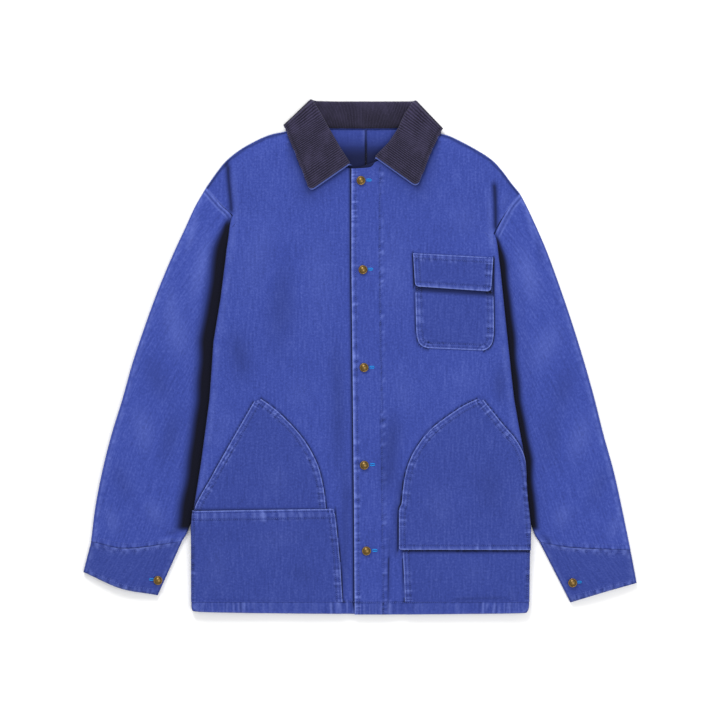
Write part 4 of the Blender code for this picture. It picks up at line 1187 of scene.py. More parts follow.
def tube_sheet(side, upper, lower, outer, inner, heights, table, cuff, start=0.0, end=0.0):
    """Flattened tube: the upper side bulges between its two folded edges, the arcs at
    the edges are half circles and the underside lies flat."""
    sign = SIGN[side]
    length = np.hypot(*np.diff(np.array(outer, float), axis=0).T).sum()
    rows = share_rows(length)
    tops = share_rows(95.0 if cuff else 150.0)
    v = np.linspace(0.0, 1.0, rows + 1)
    outer_z = column(heights, TUBE_COLUMNS, "down", "outer", v)
    crown_z = column(heights, TUBE_COLUMNS, "down", "crown", v)
    inner_z = column(heights, TUBE_COLUMNS, "down", "inner", v)
    outer_r = (outer_z - FLOOR) / 2
    inner_r = (inner_z - FLOOR) / 2
    u = np.repeat(np.linspace(0.0, 1.0, tops + 1)[None, :], rows + 1, axis=0)
    vv = np.repeat(v[:, None], tops + 1, axis=1)
    upper, lower = rounded(upper), rounded(lower)
    left = np.repeat(walk(rounded(outer, 90), v)[:, None, :], tops + 1, axis=1)
    right = np.repeat(walk(rounded(inner, 90), v)[:, None, :], tops + 1, axis=1)
    plan = patch(walk(upper, u), walk(lower, u), left, right, u, vv)
    span = plan[:, -1] - plan[:, 0]
    unit = span / np.hypot(*span.T)[:, None]
    plan = plan + unit[:, None, :] * (outer_r[:, None, None] * (1 - u[..., None])
                                      - inner_r[:, None, None] * u[..., None])
    fall = np.stack([-unit[:, 1], unit[:, 0]], axis=-1)
    fall = fall * np.sign(-fall[:, 1:2])
    plan = plan + fall[:, None, :] * (start * (1 - vv) - end * vv)[..., None]
    x, y = plan[..., 0], plan[..., 1]
    bulge = (4 * u * (1 - u)) ** 0.8
    z = outer_z[:, None] * (1 - u) + inner_z[:, None] * u
    z = z + (crown_z[:, None] - (outer_z + inner_z)[:, None] / 2) * bulge
    fold_x = fold_at(side, y, "x")
    beyond = sign * (x - fold_x)
    low = inner_z[:, None] + 10.0 * ease((beyond - 6.0) / 40.0)
    held = (y > -262.0) & (y < 236.0)
    z = np.where(held, np.minimum(z, low), z)
    middle = np.clip(bulge * 1.6, 0.0, 1.0) * ease((beyond - 8.0) / 26.0)
    middle = np.where(held, middle, np.clip(bulge * 1.6, 0.0, 1.0))
    folds = creases(table, x, y)
    z = z + middle * (folds + 0.55 * rumple(x, y, 51 if sign < 0 else 52, 90.0)
                      + 0.2 * rumple(x, y, 53, 30.0))
    # crease ridges worn pale; painted shade in the crease troughs
    wear = np.clip(folds * 0.14, 0.0, 0.4)
    shade = np.clip(-folds * 0.2, 0.0, 0.6)
    if cuff:
        deep = np.hypot(*(walk(lower, u) - plan).transpose(2, 0, 1))
        high = np.hypot(*(walk(upper, u) - plan).transpose(2, 0, 1))
        for gap, seed in ((deep, 61), (high, 62)):
            wave = waver(u * 120.0 + 0.4 * gap, seed, 12.0)
            near = np.exp(-(np.maximum(0.0, gap - 5.0) / 3.5) ** 2)
            z = z + 0.28 * near * wave - 0.4 * np.exp(-((gap - 5.5) / 0.9) ** 2)
            wear += near * np.clip(0.5 * wave + 0.12, 0.0, 1.0) * 0.8
            wear += 0.5 * np.exp(-(gap / 1.6) ** 2)
            # painted shade in the pucker troughs of the cuff's seams
            shade += 0.35 * near * np.clip(-wave, 0.0, 1.0)
    else:
        gap = np.hypot(*(walk(lower, u) - plan).transpose(2, 0, 1))
        near = np.exp(-(gap / 7.0) ** 2)
        wave = waver(u * 130.0 + 0.3 * gap, 63, 13.0)
        z = z + 0.3 * near * wave
        wear += 0.4 * near * np.clip(wave, 0.0, 1.0)
        # painted shade in the pucker troughs by the cuff seam, and a dark line on the seam itself
        shade += 0.35 * near * np.clip(-wave, 0.0, 1.0) + 0.5 * np.exp(-(gap / 1.5) ** 2)
        hole, run, _ = along(upper, x, y)
        near = ease((y - PIT_TOP[side] + 34.0) / 20.0)
        small = waver(run, 64, 9.0)
        z = z + near * (0.35 * np.exp(-((hole - 6.0) / 2.2) ** 2) + 0.12 * small
                        * np.exp(-(hole / 7.0) ** 2) * ease(hole / 2.0))
        wear += near * 0.5 * np.exp(-((hole - 1.6) / 1.2) ** 2) * (0.8 + 0.3 * small)
        wear += near * 0.42 * np.exp(-((hole - 7.0) / 1.3) ** 2) * (0.8 + 0.3 * small)
        # a dark line 4.2 mm from the armhole seam, between its two pale lines
        shade += near * 0.35 * np.exp(-((hole - 4.2) / 1.3) ** 2)
    # painted shade in the fold beside the body, with no wear under it
    dark = painted_valley_shade(side, x, y)
    shade = np.maximum(shade, dark)
    wear = wear * (1.0 - dark)
    edge_gap = np.minimum(u, 1.0 - u) * np.hypot(*span.T)[:, None]
    rim = np.exp(-(edge_gap / 3.5) ** 2) * np.where(held & (u > 0.5), 0.0, 1.0)
    wear = wear + 0.35 * rim * (0.6 + 0.5 * waver(y, 71, 22.0))
    top = np.concatenate([plan, z[..., None]], axis=-1)
    turn = np.linspace(0.0, math.pi, 9)[1:]
    first = np.stack([np.concatenate([
        plan[:, -1] + unit * (inner_r * math.sin(a))[:, None],
        (FLOOR + (top[:, -1, 2] - FLOOR) / 2 * (1 + math.cos(a)))[:, None]], axis=-1)
        for a in turn], axis=1)
    share = np.linspace(1.0, 0.0, 31)[1:]
    place = share * (plan.shape[1] - 1)
    low_k = np.minimum(place.astype(int), plan.shape[1] - 2)
    part = (place - low_k)[None, :, None]
    flat = plan[:, low_k] * (1 - part) + plan[:, low_k + 1] * part
    under = np.concatenate([flat, np.full(flat.shape[:2] + (1,), FLOOR)], axis=-1)
    radius = (top[:, 0, 2] - FLOOR) / 2
    second = np.stack([np.concatenate([
        plan[:, 0] - unit * (radius * math.sin(a))[:, None],
        (FLOOR + radius * (1 - math.cos(a)))[:, None]], axis=-1)
        for a in turn[:-1]], axis=1)
    points = np.concatenate([top, first, under, second], axis=1)
    pad = points.shape[1] - top.shape[1]
    rest = np.zeros((rows + 1, pad))
    # painted shade of the inner edge carried round its folded arc
    painted_shade_rest = rest.copy()
    painted_shade_rest[:, :first.shape[1]] = shade[:, -1:]
    wear = np.concatenate([np.clip(wear, 0.0, 1.0), rest], axis=1)
    shade = np.concatenate([np.clip(shade, 0.0, 1.0), painted_shade_rest], axis=1)
    return points, top, {"wear": wear, "shade": shade}


def patch_seams(name, left_edge, right_edge):
    """Seams round a patch: two rows on its sewn edges, a folded hem at its opening."""
    a, b = rounded(left_edge, 40), rounded(right_edge, 40)
    rows, wide = (2.6, 8.4), 9.2
    foot_rows = rows
    if name.endswith("flap"):
        foot_rows = (7.0,)
    foot = walk([a[-1], b[-1]], np.linspace(0.0, 1.0, 12))
    head = walk([a[0], b[0]], np.linspace(0.0, 1.0, 12))
    return {
        "left": Seam(a, rows, wide, 0.4, 0.26, 81, 9.0),
        "right": Seam(b[::-1], rows, wide, 0.4, 0.26, 82, 9.0),
        "foot": Seam(foot, foot_rows, 7.5, 0.3, 0.16, 83, 11.0),
        "head": Seam(head[::-1], (3.0, 14.5) if name.startswith("patch") else (2.0, 7.0),
                     16.0 if name.startswith("patch") else 9.0, 0.5, 0.19, 84, 9.0),
    }


# corners of a patch that are rounded: row end, column end, radius
CORNERS = {
    "chest_flap": ((-1, 0, 6.0), (-1, -1, 7.0)),
    "arched_flap": ((-1, 0, 4.0), (-1, -1, 3.0)),
    "patch_pocket_right": ((0, 0, 3.0), (0, -1, 3.0)),
}
PATCH_EDGES = {
    "chest_pocket": ("left", "right", "foot"),
    "chest_flap": ("left", "right", "foot", "head"),
    "arched_pocket": ("left", "right"),
    "patch_pocket_right": ("left", "right", "head"),
    "patch_pocket_left": ("left", "right", "head"),
    "arched_flap": ("left", "right", "foot"),
}


def patch_layer(layers, y):
    at_top, at_foot, high_y, low_y = layers
    return at_top + (at_foot - at_top) * ease((high_y - y) / (high_y - low_y))


def patch_relief(row, x, y):
    """Rise of a patch over its front and its paleness, which below zero is painted shade: pressed
    down at its sewn edges, puffed in its middle, loose at its opening, with the relief of its seams."""
    name, _, layers, left_edge, right_edge = row
    relief = np.zeros(np.shape(x))
    pale = np.zeros(np.shape(x))
    sewn = np.full(np.shape(x), 1e9)
    gaps = {}
    for edge, seam in patch_seams(name, left_edge, right_edge).items():
        gap, run, _ = along(seam.path, x, y)
        gaps[edge] = gap
        if edge in PATCH_EDGES[name]:
            height, light = seam.profile(gap, run)
            relief = relief + height
            pale = pale + light
        free = edge == "head" and "pocket" in name or edge == "foot" and "flap" in name
        if not free:
            sewn = np.minimum(sewn, gap)
    lift = patch_layer(layers, y) * POCKET_LIFT - 0.4 * np.exp(-(sewn / 5.0) ** 2)
    lift = lift + 0.55 * ease((sewn - 5.0) / 26.0) + relief
    if name == "chest_flap":
        lift = lift + ease(1.0 - gaps["foot"] / 28.0) * (0.8 + 0.3 * np.sin(x / 13.0))
    elif name == "arched_flap":
        lift = lift + ease(1.0 - gaps["foot"] / 22.0) * (0.5 + 0.35 * np.sin(x / 21.0))
    elif name.startswith("patch_pocket"):
        lift = lift + 0.9 * ease(1.0 - gaps["head"] / 20.0)
    return lift, pale


def patch_sheet(row):
    """Patch sewn on a front: made from the front's own points moved out by its rise."""
    name, side, _, left_edge, right_edge = row
    a, b = rounded(left_edge, 90), rounded(right_edge, 90)
    tall = np.hypot(*np.diff(a, axis=0).T).sum()
    wide = np.hypot(*(a - b).T).max()
    v = crowded(share_rows(tall * 1.35), 0.65)
    s = crowded(share_rows(wide * 1.35), 0.65)[None, :, None]
    plan = walk(a, v)[:, None, :] * (1 - s) + walk(b, v)[:, None, :] * s
    x, y = plan[..., 0], plan[..., 1]
    lift, pale = patch_relief(row, x, y)
    points = front_point(side, x, y, lift)
    for row_end, column_end, radius in CORNERS.get(name, ()):
        points = round_corner(points, row_end, column_end, radius)
    folds = creases(BODY_CREASES[side], x, y)
    wear = np.clip(pale, 0.0, 1.0) + np.clip(folds * 0.07, 0.0, 0.25)
    # painted shade in the seam grooves, pucker troughs and crease troughs
    shade = np.clip(-pale, 0.0, 1.0) + np.clip(-folds * 0.16, 0.0, 0.5)
    # painted shadow on the parts that lie under a flap or another pocket
    if name == "chest_pocket":
        shade = shade + 0.7 * ease((y - (97.0 - 0.07 * (x - 86.0))) / 7.0)
    if name == "patch_pocket_left":
        shade = shade + 0.65 * ease((y + 307.0) / 6.0)
    if name == "arched_pocket":
        shade = shade + 0.5 * ease((-232.0 - y) / 6.0)
    return points, plan, {"wear": np.clip(wear, 0.0, 1.0), "shade": np.clip(shade, 0.0, 1.0)}


def collar_sheet(layer):
    """Collar: each section runs from the neck seam up its stand, round the roll on a
    circle, and down its fall to the outer edge."""
    rows = np.array(COLLAR)
    keys = np.arange(len(rows))
    count = 150
    t = np.linspace(0.0, len(rows) - 1, count + 1)
    smooth = {}
    for k, name in enumerate(COLLAR_COLUMNS):
        plain = np.interp(t, keys, rows[:, k])
        smooth[name] = plain
    neck = np.stack([smooth["neck_x"], smooth["neck_y"]], axis=-1)
    roll = np.stack([smooth["roll_x"], smooth["roll_y"]], axis=-1)
    outer = np.stack([smooth["outer_x"], smooth["outer_y"]], axis=-1)
    radius = COLLAR_ROLL - layer * COLLAR_STEP
    step = layer * COLLAR_STEP
    away = roll - (neck * 0.5 + outer * 0.5)
    away /= np.hypot(*away.T)[:, None]
    tilt = np.radians(smooth["tilt"])
    sideways = outer - roll
    cross = away[:, :1] * sideways[:, 1:] - away[:, 1:] * sideways[:, :1]
    flank = np.stack([-away[:, 1], away[:, 0]], axis=-1) * np.sign(cross)
    flat = np.cos(tilt)[:, None] * flank
    up = np.concatenate([flat, np.sin(tilt)[:, None]], axis=-1)
    out = np.concatenate([away, np.zeros((len(t), 1))], axis=-1)
    centre = np.concatenate([roll - away * COLLAR_ROLL, smooth["axis"][:, None]], axis=-1)
    stand_end = centre - up * radius
    fall_start = centre + up * radius
    clear = np.where(tilt > 0.02, NECK_CLEAR_FRONT, NECK_CLEAR_BACK)[:, None]
    neck = neck + away * clear + flat * step
    outer = outer - flat * step
    neck_point = np.concatenate([neck, stand_end[:, 2:]], axis=-1)
    lines = []
    shades = []
    for s in np.linspace(0.0, 1.0, 7)[:-1]:
        lines.append(neck_point * (1 - s) + stand_end * s)
        # painted shade on the stand, darkest at the neck seam and fading up to the roll
        shades.append(0.45 * (1 - s) + 0.0 * t)
    for a in np.linspace(0.0, math.pi, 13)[:-1]:
        lines.append(centre - up * radius * math.cos(a) + out * radius * math.sin(a))
        shades.append(0.0 * t)
    weight = np.sin(tilt)
    for s in np.linspace(0.0, 1.0, 25):
        plan = fall_start[:, :2] * (1 - s) + outer * s
        x, y = plan[:, 0], plan[:, 1]
        level = fall_start[:, 2]
        rest = np.where(x < 6.0, front_height("right", x, y), front_height("left", x, y))
        rest = rest + 1.85 + (COLLAR_STEP - step)
        swell = 0.9 * math.sin(math.pi * s) * (0.6 + 0.5 * waver(t * 30.0, 91, 170.0))
        top_z = np.maximum(level * (1 - s) + rest * s, rest)
        top_z = top_z + swell * ease((weight - 0.97) / 0.03)
        middle = WRAP_HEIGHT - weight * step
        beneath = middle * (1 + weight) - level * weight
        above = rest * weight + middle * (1 - weight)
        z = np.where(weight > 0.97, top_z,
                     level * (1 - s) + np.where(weight > 0, above, beneath) * s)
        lines.append(np.concatenate([plan, z[:, None]], axis=-1))
        shades.append(0.0 * t)
    points = np.stack(lines, axis=1)
    if layer == 0:
        wave = 0.55 * waver(t * 30.0, 95, 26.0) + 0.35 * waver(t * 30.0, 96, 9.0)
        last = points[:, -1, :2] - points[:, -2, :2]
        last /= np.maximum(np.hypot(*last.T)[:, None], 1e-6)
        points[:, -1, :2] += last * wave[:, None]
    if layer == 1:
        for ends in ((0, 1, 2), (-1, -2, -3)):
            step_out = points[ends[0]] - points[ends[1]]
            step_out[:, 2] = 0.0
            step_out /= np.maximum(np.linalg.norm(step_out, axis=1, keepdims=True), 1e-6)
            for k, share in zip(ends, (1.0, 0.66, 0.33)):
                points[k] += step_out * 1.9 * share
    for row_end in (0, -1):
        points = round_corner(points, row_end, -1, 9.0)
    shade = np.stack(shades, axis=1)
    u = np.concatenate([[0.0], np.cumsum(np.hypot(*np.diff(outer * 0.5 + neck * 0.5,
                                                           axis=0).T))])
    w = np.cumsum(np.linalg.norm(np.diff(points, axis=1, prepend=points[:, :1]), axis=-1),
                  axis=1)
    cloth_map = np.stack([u[:, None] + 0.0 * w, w], axis=-1)
    edge = np.exp(-((w[:, -1:] - w) / 2.2) ** 2)
    ends = np.exp(-(np.minimum(u, u[-1] - u)[:, None] / 2.2) ** 2)
    bend = np.exp(-((w - w[:, 12:13]) / 3.5) ** 2)
    wear = np.clip(0.7 * edge + 0.7 * ends + 0.4 * bend, 0.0, 1.0)
    off = np.minimum(w[:, -1:] - w, np.minimum(u, u[-1] - u)[:, None])
    shade = shade + 0.55 * np.exp(-((off - 4.5) / 1.6) ** 2)
    return points, cloth_map, {"wear": wear, "shade": shade}


# ---------------------------------------------------------------- buttons and thread
# turned button: radius, height over its back, how dark the hollow is
BUTTON_PROFILE = ((0.0, -1.2, 1.0), (2.2, -1.2, 1.0), (2.2, 0.0, 1.0), (6.3, 0.0, 0.8),
                  (6.85, 0.35, 0.3), (7.0, 0.85, 0.15), (6.95, 1.4, 0.0), (6.6, 1.85, 0.0),
                  (6.1, 2.0, 0.05), (5.65, 1.85, 0.35), (5.35, 1.62, 0.8), (5.05, 1.6, 0.9),
                  (4.75, 1.85, 0.35), (4.4, 2.15, 0.1), (3.6, 2.65, 0.0), (2.7, 3.1, 0.05),
                  (1.8, 3.42, 0.0), (0.9, 3.62, 0.0), (0.0, 3.7, 0.0))


def button_mesh(name, centre):
    """Domed button: its profile turned about an upright axis, a pole at each end."""
    profile = np.array(BUTTON_PROFILE)
    steps = sizes().steps
    angle = np.linspace(0.0, 2 * math.pi, steps, endpoint=False)
    rings = profile[1:-1]
    ring = np.stack([rings[:, 0:1] * np.cos(angle), rings[:, 0:1] * np.sin(angle),
                     rings[:, 1:2] + 0.0 * angle], axis=-1)
    points = np.concatenate([[[0.0, 0.0, profile[0, 1]]], ring.reshape(-1, 3),
                             [[0.0, 0.0, profile[-1, 1]]]])
    points = (points + np.array(centre)) * MM
    count = len(rings)
    here = np.arange(steps)
    after = (here + 1) % steps
    base = 1 + np.arange(count - 1)[:, None] * steps
    sides = np.stack([base + here, base + after, base + steps + after, base + steps + here],
                     axis=-1).reshape(-1, 4)
    last = len(points) - 1
    top = 1 + (count - 1) * steps
    faces = sides.tolist()
    faces += np.stack([np.zeros(steps, int), 1 + after, 1 + here], axis=-1).tolist()
    faces += np.stack([np.full(steps, last), top + here, top + after], axis=-1).tolist()
    mesh = bpy.data.meshes.new(name)
    mesh.from_pydata(points.tolist(), [], faces)
    mesh.shade_smooth()
    made = mesh.attributes.new("shade", 'FLOAT', 'POINT')
    dark = np.concatenate([[profile[0, 2]], np.repeat(rings[:, 2], steps), [profile[-1, 2]]])
    made.data.foreach_set("value", dark)
    return mesh


def placed(mesh, nodes=()):
    """Put a finished mesh in the scene as a piece of the jacket."""
    piece = bpy.data.objects.new(mesh.name, mesh)
    bpy.context.scene.collection.objects.link(piece)
    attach(piece, "root")
    if nodes:
        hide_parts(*nodes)
    return piece


def thread_mesh(name, starts, ends, ups, thick, arch):
    """Stitches: each a bent spindle of four-sided rings between its two ends, lifted
    in the middle by the arch."""
    starts, ends, ups = (np.asarray(v, dtype=float) for v in (starts, ends, ups))
    way = ends - starts
    size = np.linalg.norm(way, axis=1, keepdims=True)
    way = way / np.maximum(size, 1e-6)
    across = np.cross(way, ups)
    across /= np.maximum(np.linalg.norm(across, axis=1, keepdims=True), 1e-6)
    up = np.cross(across, way)
    shape = ((0.12, 0.75, 0.35), (0.5, 1.0, 1.0), (0.88, 0.75, 0.35))
    parts = [starts - up * thick * 0.3]
    for share, round_size, rise in shape:
        middle = starts + way * size * share + up * arch * rise
        for dx, dz in ((1.0, 0.0), (0.0, 1.0), (-1.0, 0.0), (0.0, -1.0)):
            parts.append(middle + across * thick * round_size * dx
                         + up * thick * round_size * dz)
    parts.append(ends - up * thick * 0.3)
    points = np.stack(parts, axis=1)
    count = points.shape[1]
    faces = []
    for k in range(4):
        n = (k + 1) % 4
        faces.append((0, 1 + n, 1 + k, 1 + k))
        for ring in (1, 5):
            faces.append((ring + k, ring + n, ring + 4 + n, ring + 4 + k))
        faces.append((13, 9 + k, 9 + n, 9 + n))
    quads = [f for f in faces if len(set(f)) == 4]
    tris = [tuple(dict.fromkeys(f)) for f in faces if len(set(f)) == 3]
    shift = (np.arange(len(points)) * count)[:, None, None]
    all_quads = (np.array(quads)[None] + shift).reshape(-1, 4)
    all_tris = (np.array(tris)[None] + shift).reshape(-1, 3)
    flat = points.reshape(-1, 3).copy()
    flat[:, 0] -= CENTRE_X
    flat[:, 1] -= CENTRE_Y
    mesh = bpy.data.meshes.new(name)
    mesh.from_pydata((flat * MM).tolist(), [], all_quads.tolist() + all_tris.tolist())
    mesh.shade_smooth()
    return mesh


def offset_path(path, distance):
    """The path moved sideways: each point along the mean normal of its two legs."""
    p = np.array(path, dtype=float)
    way = np.gradient(p, axis=0)
    way /= np.hypot(*way.T)[:, None]
    return p + np.stack([-way[:, 1], way[:, 0]], axis=-1) * distance


def front_surface(side, lift):
    """Gives the point of the front under a plan spot, raised by the lift."""
    def place(plan):
        return front_point(side, plan[:, 0], plan[:, 1], lift)
    return place


def patch_surface(row, lift):
    """Gives the point of a patch over a plan spot, raised by the lift."""
    def place(plan):
        height = patch_relief(row, plan[:, 0], plan[:, 1])[0]
        return front_point(row[1], plan[:, 0], plan[:, 1], height + lift)
    return place


def grid_line(grid, v, lift, first=0.03, last=0.97):
    """A line across a sheet's grid at one share of its length, raised by the lift."""
    row = v * (grid.shape[0] - 1)
    low = int(min(row, grid.shape[0] - 2))
    line = grid[low] * (1 - row + low) + grid[low + 1] * (row - low)
    a, b = int(first * len(line)), int(last * len(line))
    return line[a:b] + np.array((0.0, 0.0, lift))


def stitches_on(line):
    """Cut a line of points in space into stitches with small gaps between them."""
    steps = np.linalg.norm(np.diff(line, axis=0), axis=1)
    run = np.concatenate([[0.0], np.cumsum(steps)])
    count = max(2, int(run[-1] / (sizes().stitch / MM * 1.35)))
    here = np.arange(count) / count * run[-1]
    there = here + 0.74 * run[-1] / count
    pick = [np.stack([np.interp(at, run, line[:, k]) for k in range(3)], axis=-1)
            for at in (here, there)]
    return pick


def stitched(name, lines, main, thick=1.0, arch=0.22):
    """One piece of thread: the stitches of every line given."""
    pairs = [stitches_on(line) for line in lines]
    starts = np.concatenate([p[0] for p in pairs])
    ends = np.concatenate([p[1] for p in pairs])
    ups = np.tile((0.0, 0.0, 1.0), (len(starts), 1))
    mesh = thread_mesh(name, starts, ends, ups, sizes().thread / MM * thick, arch)
    piece = placed(mesh)
    return finish_piece(piece, main)


def satin(name, bars, made, thick, nodes=()):
    """Close side-by-side threads: each bar is a row of short threads laid across it."""
    starts, ends = [], []
    for x, y, z, long_side, short_side, turn, split in bars:
        count = max(4, int(long_side / (thick * 1.7)))
        at = (np.arange(count) + 0.5) / count - 0.5
        c, s = math.cos(turn), math.sin(turn)
        wide = short_side / 2 * np.sqrt(np.clip(1.0 - (2 * at) ** 4, 0.15, 1.0))
        for low, high in (((-1.0, -split), (split, 1.0)) if split else ((-1.0, 1.0),)):
            for far, out in ((low, starts), (high, ends)):
                px = at * long_side
                py = far * wide
                out.append(np.stack([x + px * c - py * s, y + px * s + py * c,
                                     np.full(count, z)], axis=-1))
    starts, ends = np.concatenate(starts), np.concatenate(ends)
    ups = np.tile((0.0, 0.0, 1.0), (len(starts), 1))
    mesh = thread_mesh(name, starts, ends, ups, thick, thick * 0.8)
    return finish_piece(placed(mesh, nodes), made)


def tube_parts(side):
    """Points, upper side and marks of a sleeve and of its cuff."""
    sleeve = tube_sheet(side, ARMHOLE[side], CUFF_SEAM[side], SLEEVE_OUTER[side],
                        SLEEVE_INNER[side], SLEEVE_HEIGHT, SLEEVE_CREASES[side], False,
                        -1.3, 0.0)
    cuff = tube_sheet(side, CUFF_SEAM[side], CUFF_HEM[side],
                      (CUFF_SEAM[side][0], CUFF_HEM[side][0]),
                      (CUFF_SEAM[side][-1], CUFF_HEM[side][-1]),
                      CUFF_HEIGHT, SLEEVE_CREASES[side], True, 0.2)
    return sleeve, cuff


# flat cut of each sheet: width, length and area, and what it lies on
CUTS = {
    "front_right": (0.308, 0.756, 0.200, ("back_right",)),
    "front_left": (0.296, 0.760, 0.194, ("back_left", "front_right")),
    "back_right": (0.258, 0.752, 0.163, ()),
    "back_left": (0.243, 0.754, 0.1545, ()),
    "sleeve_right": (0.331, 0.575, 0.1525, ()),
    "sleeve_left": (0.316, 0.575, 0.142, ()),
    "cuff_right": (0.270, 0.088, 0.0169, ()),
    "cuff_left": (0.244, 0.116, 0.0175, ()),
    "collar_upper": (0.465, 0.111, 0.0383, ("collar_under",)),
    "collar_under": (0.465, 0.111, 0.0359, ("front_right", "front_left")),
    "chest_pocket": (0.122, 0.141, 0.0162, ("front_left",)),
    "chest_flap": (0.124, 0.060, 0.00625, ("chest_pocket",)),
    "arched_pocket": (0.205, 0.186, 0.0247, ("front_right",)),
    "patch_pocket_right": (0.240, 0.145, 0.0334, ("front_right",)),
    "patch_pocket_left": (0.203, 0.096, 0.0190, ("front_left",)),
    "arched_flap": (0.209, 0.235, 0.0379, ("front_left", "patch_pocket_left")),
}


def declare(piece):
    """Looks up the flat cut of a laid sheet and what it rests on; nothing is done with them."""
    wide, tall, area, under = CUTS[piece.name.removesuffix("_cloth")]
    [name + "_cloth" for name in under]


# ---------------------------------------------------------------- operators
class JACKET_OT_backs(bpy.types.Operator):
    """Build the two halves of the back"""
    bl_idname = "jacket.backs"
    bl_label = "Back"

    def execute(self, context):
        for side in ("right", "left"):
            points, plan, marks = back_sheet(side)
            piece = build_mesh("back_" + side, points, sizes().cloth,
                               ["back_" + side], plan, marks)
            declare(finish_piece(piece, twill_material()))
        return {'FINISHED'}


class JACKET_OT_fronts(bpy.types.Operator):
    """Build the two fronts"""
    bl_idname = "jacket.fronts"
    bl_label = "Fronts"

    def execute(self, context):
        for side in ("right", "left"):
            points, plan, marks = front_sheet(side)
            piece = build_mesh("front_" + side, points, sizes().cloth,
                               ["front_" + side], plan, marks)
            declare(finish_piece(piece, twill_material()))
        return {'FINISHED'}


class JACKET_OT_sleeves(bpy.types.Operator):
    """Build the sleeves and their cuffs"""
    bl_idname = "jacket.sleeves"
    bl_label = "Sleeves and cuffs"

    def execute(self, context):
        for side in ("right", "left"):
            sleeve, cuff = tube_parts(side)
            for name, part, tone in (("sleeve_", sleeve, 1.04), ("cuff_", cuff, 0.86)):
                points, _, marks = part
                piece = build_mesh(name + side, points, sizes().cloth,
                                   [name + side],
                                   spaced(points), marks, closed=True)
                made = twill_material("washed twill of the " + name[:-1], tone)
                declare(finish_piece(piece, made))
        return {'FINISHED'}


class JACKET_OT_patches(bpy.types.Operator):
    """Build the pockets and flaps sewn on the fronts"""
    bl_idname = "jacket.patches"
    bl_label = "Pockets and flaps"

    def execute(self, context):
        for row in PATCHES:
            points, plan, marks = patch_sheet(row)
            piece = build_mesh(row[0], points, sizes().patch,
                               [row[0]], plan, marks)
            declare(finish_piece(piece, twill_material("washed twill of the patches", 0.88)))
        return {'FINISHED'}


class JACKET_OT_collar(bpy.types.Operator):
    """Build the corduroy collar and the twill one beneath it"""
    bl_idname = "jacket.collar"
    bl_label = "Collar"

    def execute(self, context):
        for layer, name, made in ((0, "collar_upper", corduroy_material()),
                                  (1, "collar_under", twill_material())):
            points, plan, marks = collar_sheet(layer)
            piece = build_mesh(name, points, sizes().cord, [name], plan,
                               marks)
            declare(finish_piece(piece, made))
        return {'FINISHED'}


class JACKET_OT_buttons(bpy.types.Operator):
    """Turn the seven brass buttons"""
    bl_idname = "jacket.buttons"
    bl_label = "Buttons"

    def execute(self, context):
        places = [(name, x, y, float(front_height("left", np.array(x), np.array(y))) + 2.2)
                  for name, x, y in BUTTONS]
        places += [(name, x, y, seat) for name, x, y, seat in CUFF_BUTTONS]
        for name, x, y, seat in places:
            mesh = button_mesh(name + "_turned", (x - CENTRE_X, y - CENTRE_Y, seat))
            piece = placed(mesh, [name])
            finish_piece(piece, brass_material())
        return {'FINISHED'}


class JACKET_OT_stitching(bpy.types.Operator):
    """Sew the rows of stitches, the bar tacks and the buttonholes"""
    bl_idname = "jacket.stitching"
    bl_label = "Stitching"

    def execute(self, context):
        thread = thread_material("seam thread", tuple(colours().thread), 1.5)
        over = sizes().cloth / MM / 2
        lines = []
        for side in ("right", "left"):
            place = front_surface(side, over)
            for seam in SEAMS[side]:
                for row in seam.rows:
                    path = offset_path(seam.path, row)
                    lines.append(place(walk(path, np.linspace(0.003, 0.997, 260))))
        stitched("front_stitching", lines, thread)
        lines = []
        over = sizes().patch / MM / 2
        for row in PATCHES:
            place = patch_surface(row, over)
            seams = patch_seams(row[0], row[3], row[4])
            for edge in PATCH_EDGES[row[0]]:
                seam = seams[edge]
                for gap in seam.rows:
                    path = offset_path(seam.path, gap)
                    lines.append(place(walk(path, np.linspace(0.02, 0.98, 120))))
        stitched("pocket_stitching", lines, thread)
        lines = []
        over = sizes().cloth / MM / 2
        for side in ("right", "left"):
            sleeve, cuff = tube_parts(side)
            for v in (0.07, 0.90):
                lines.append(grid_line(cuff[1], v, over))
            lines.append(grid_line(sleeve[1], 0.985, over))
        stitched("sleeve_stitching", lines, thread)
        holes = []
        for x, y in BUTTONHOLES:
            z = float(front_height("left", np.array(x), np.array(y))) + 0.65 + 0.25
            holes.append((x, y, z, 8.6, 4.8, 0.0, 0.16))
        for x, y, z in CUFF_BUTTONHOLES:
            holes.append((x, y, z, 7.6, 4.4, 0.0, 0.16))
        bright = thread_material("buttonhole thread", tuple(colours().buttonhole), 1.5)
        satin("buttonholes", holes, bright, 0.42)
        tacks = []
        for name, x, y, long_side, turn in BAR_TACKS:
            row = next(r for r in PATCHES if r[0] == name)
            height = patch_relief(row, np.array([x]), np.array([y]))[0]
            z = float(front_point(row[1], np.array([x]), np.array([y]), height)[0, 2])
            tacks.append((x, y, z + 0.75, long_side, 2.6, math.radians(turn), 0.0))
        satin("bar_tacks", tacks, thread, 0.32)
        return {'FINISHED'}


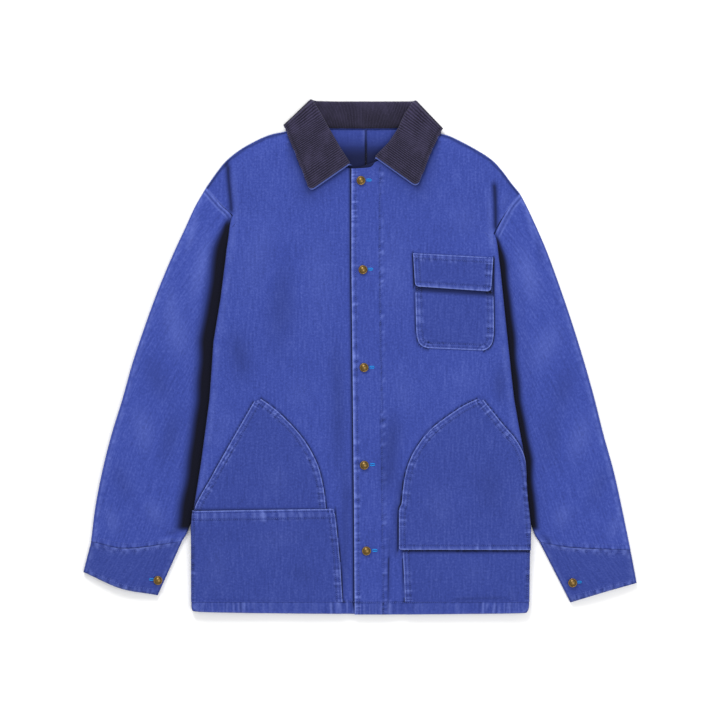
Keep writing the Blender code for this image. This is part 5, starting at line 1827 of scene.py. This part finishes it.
class JACKET_OT_stage(bpy.types.Operator):
    """Lay the pale floor and set the soft studio light and the camera"""
    bl_idname = "jacket.stage"
    bl_label = "Stage"

    def execute(self, context):
        scene = context.scene
        mesh = bpy.data.meshes.new("floor")
        half = 4.0
        mesh.from_pydata([(-half, -half, -0.0004), (half, -half, -0.0004),
                          (half, half, -0.0004), (-half, half, -0.0004)], [], [(0, 1, 2, 3)])
        floor = bpy.data.objects.new("floor", mesh)
        scene.collection.objects.link(floor)
        pale = bpy.data.materials.new("pale floor")
        pale.use_nodes = True
        shader = pale.node_tree.nodes["Principled BSDF"]
        shader.inputs["Base Color"].default_value = (0.96, 0.96, 0.96, 1.0)
        shader.inputs["Roughness"].default_value = 0.9
        mesh.materials.append(pale)
        for name, place, aim, size, power in LIGHTS:
            lamp = bpy.data.lights.new(name, 'AREA')
            lamp.shape = 'DISK'
            lamp.size = size
            lamp.energy = power
            holder = bpy.data.objects.new(name, lamp)
            scene.collection.objects.link(holder)
            holder.location = place
            way = np.array(aim) - np.array(place)
            flat = math.hypot(way[0], way[1])
            holder.rotation_euler = (math.atan2(flat, -way[2]), 0.0,
                                     math.atan2(-way[0], way[1]))
        world = bpy.data.worlds.new("studio")
        world.use_nodes = True
        sky = world.node_tree.nodes["Background"]
        sky.inputs["Color"].default_value = (1.0, 1.0, 1.0, 1.0)
        sky.inputs["Strength"].default_value = WORLD_LIGHT
        scene.world = world
        view = bpy.data.cameras.new("camera")
        view.sensor_width = 36.0
        view.lens = CAMERA_LENS
        eye = bpy.data.objects.new("camera", view)
        scene.collection.objects.link(eye)
        eye.location = (0.0, -0.0049, CAMERA_HEIGHT)
        scene.camera = eye
        scene.view_settings.view_transform = 'Standard'
        return {'FINISHED'}


class JACKET_PT_tools(bpy.types.Panel):
    """Lists the pieces of the jacket and its sizes and colours"""
    bl_idname = "JACKET_PT_tools"
    bl_label = "Chore Jacket"
    bl_space_type = 'VIEW_3D'
    bl_region_type = 'UI'
    bl_category = "Jacket"

    def draw(self, context):
        for kind in STEPS:
            self.layout.operator(kind.bl_idname)
        for group in (sizes(), colours()):
            box = self.layout.box()
            for name in group.bl_rna.properties.keys():
                if name not in ("rna_type", "name"):
                    box.prop(group, name)


STEPS = (JACKET_OT_backs, JACKET_OT_fronts, JACKET_OT_sleeves, JACKET_OT_patches,
         JACKET_OT_collar, JACKET_OT_buttons, JACKET_OT_stitching, JACKET_OT_stage)
CLASSES = (JacketSizes, JacketColours) + STEPS + (JACKET_PT_tools,)


def register():
    for kind in CLASSES:
        bpy.utils.register_class(kind)
    bpy.types.Scene.jacket_sizes = PointerProperty(type=JacketSizes)
    bpy.types.Scene.jacket_colours = PointerProperty(type=JacketColours)


def unregister():
    del bpy.types.Scene.jacket_sizes
    del bpy.types.Scene.jacket_colours
    for kind in reversed(CLASSES):
        bpy.utils.unregister_class(kind)


def main():
    register()
    bpy.ops.jacket.backs()
    bpy.ops.jacket.fronts()
    bpy.ops.jacket.sleeves()
    bpy.ops.jacket.patches()
    bpy.ops.jacket.collar()
    bpy.ops.jacket.buttons()
    bpy.ops.jacket.stitching()
    bpy.ops.jacket.stage()
    bpy.context.view_layer.update()


if __name__ == "__main__":
    main()
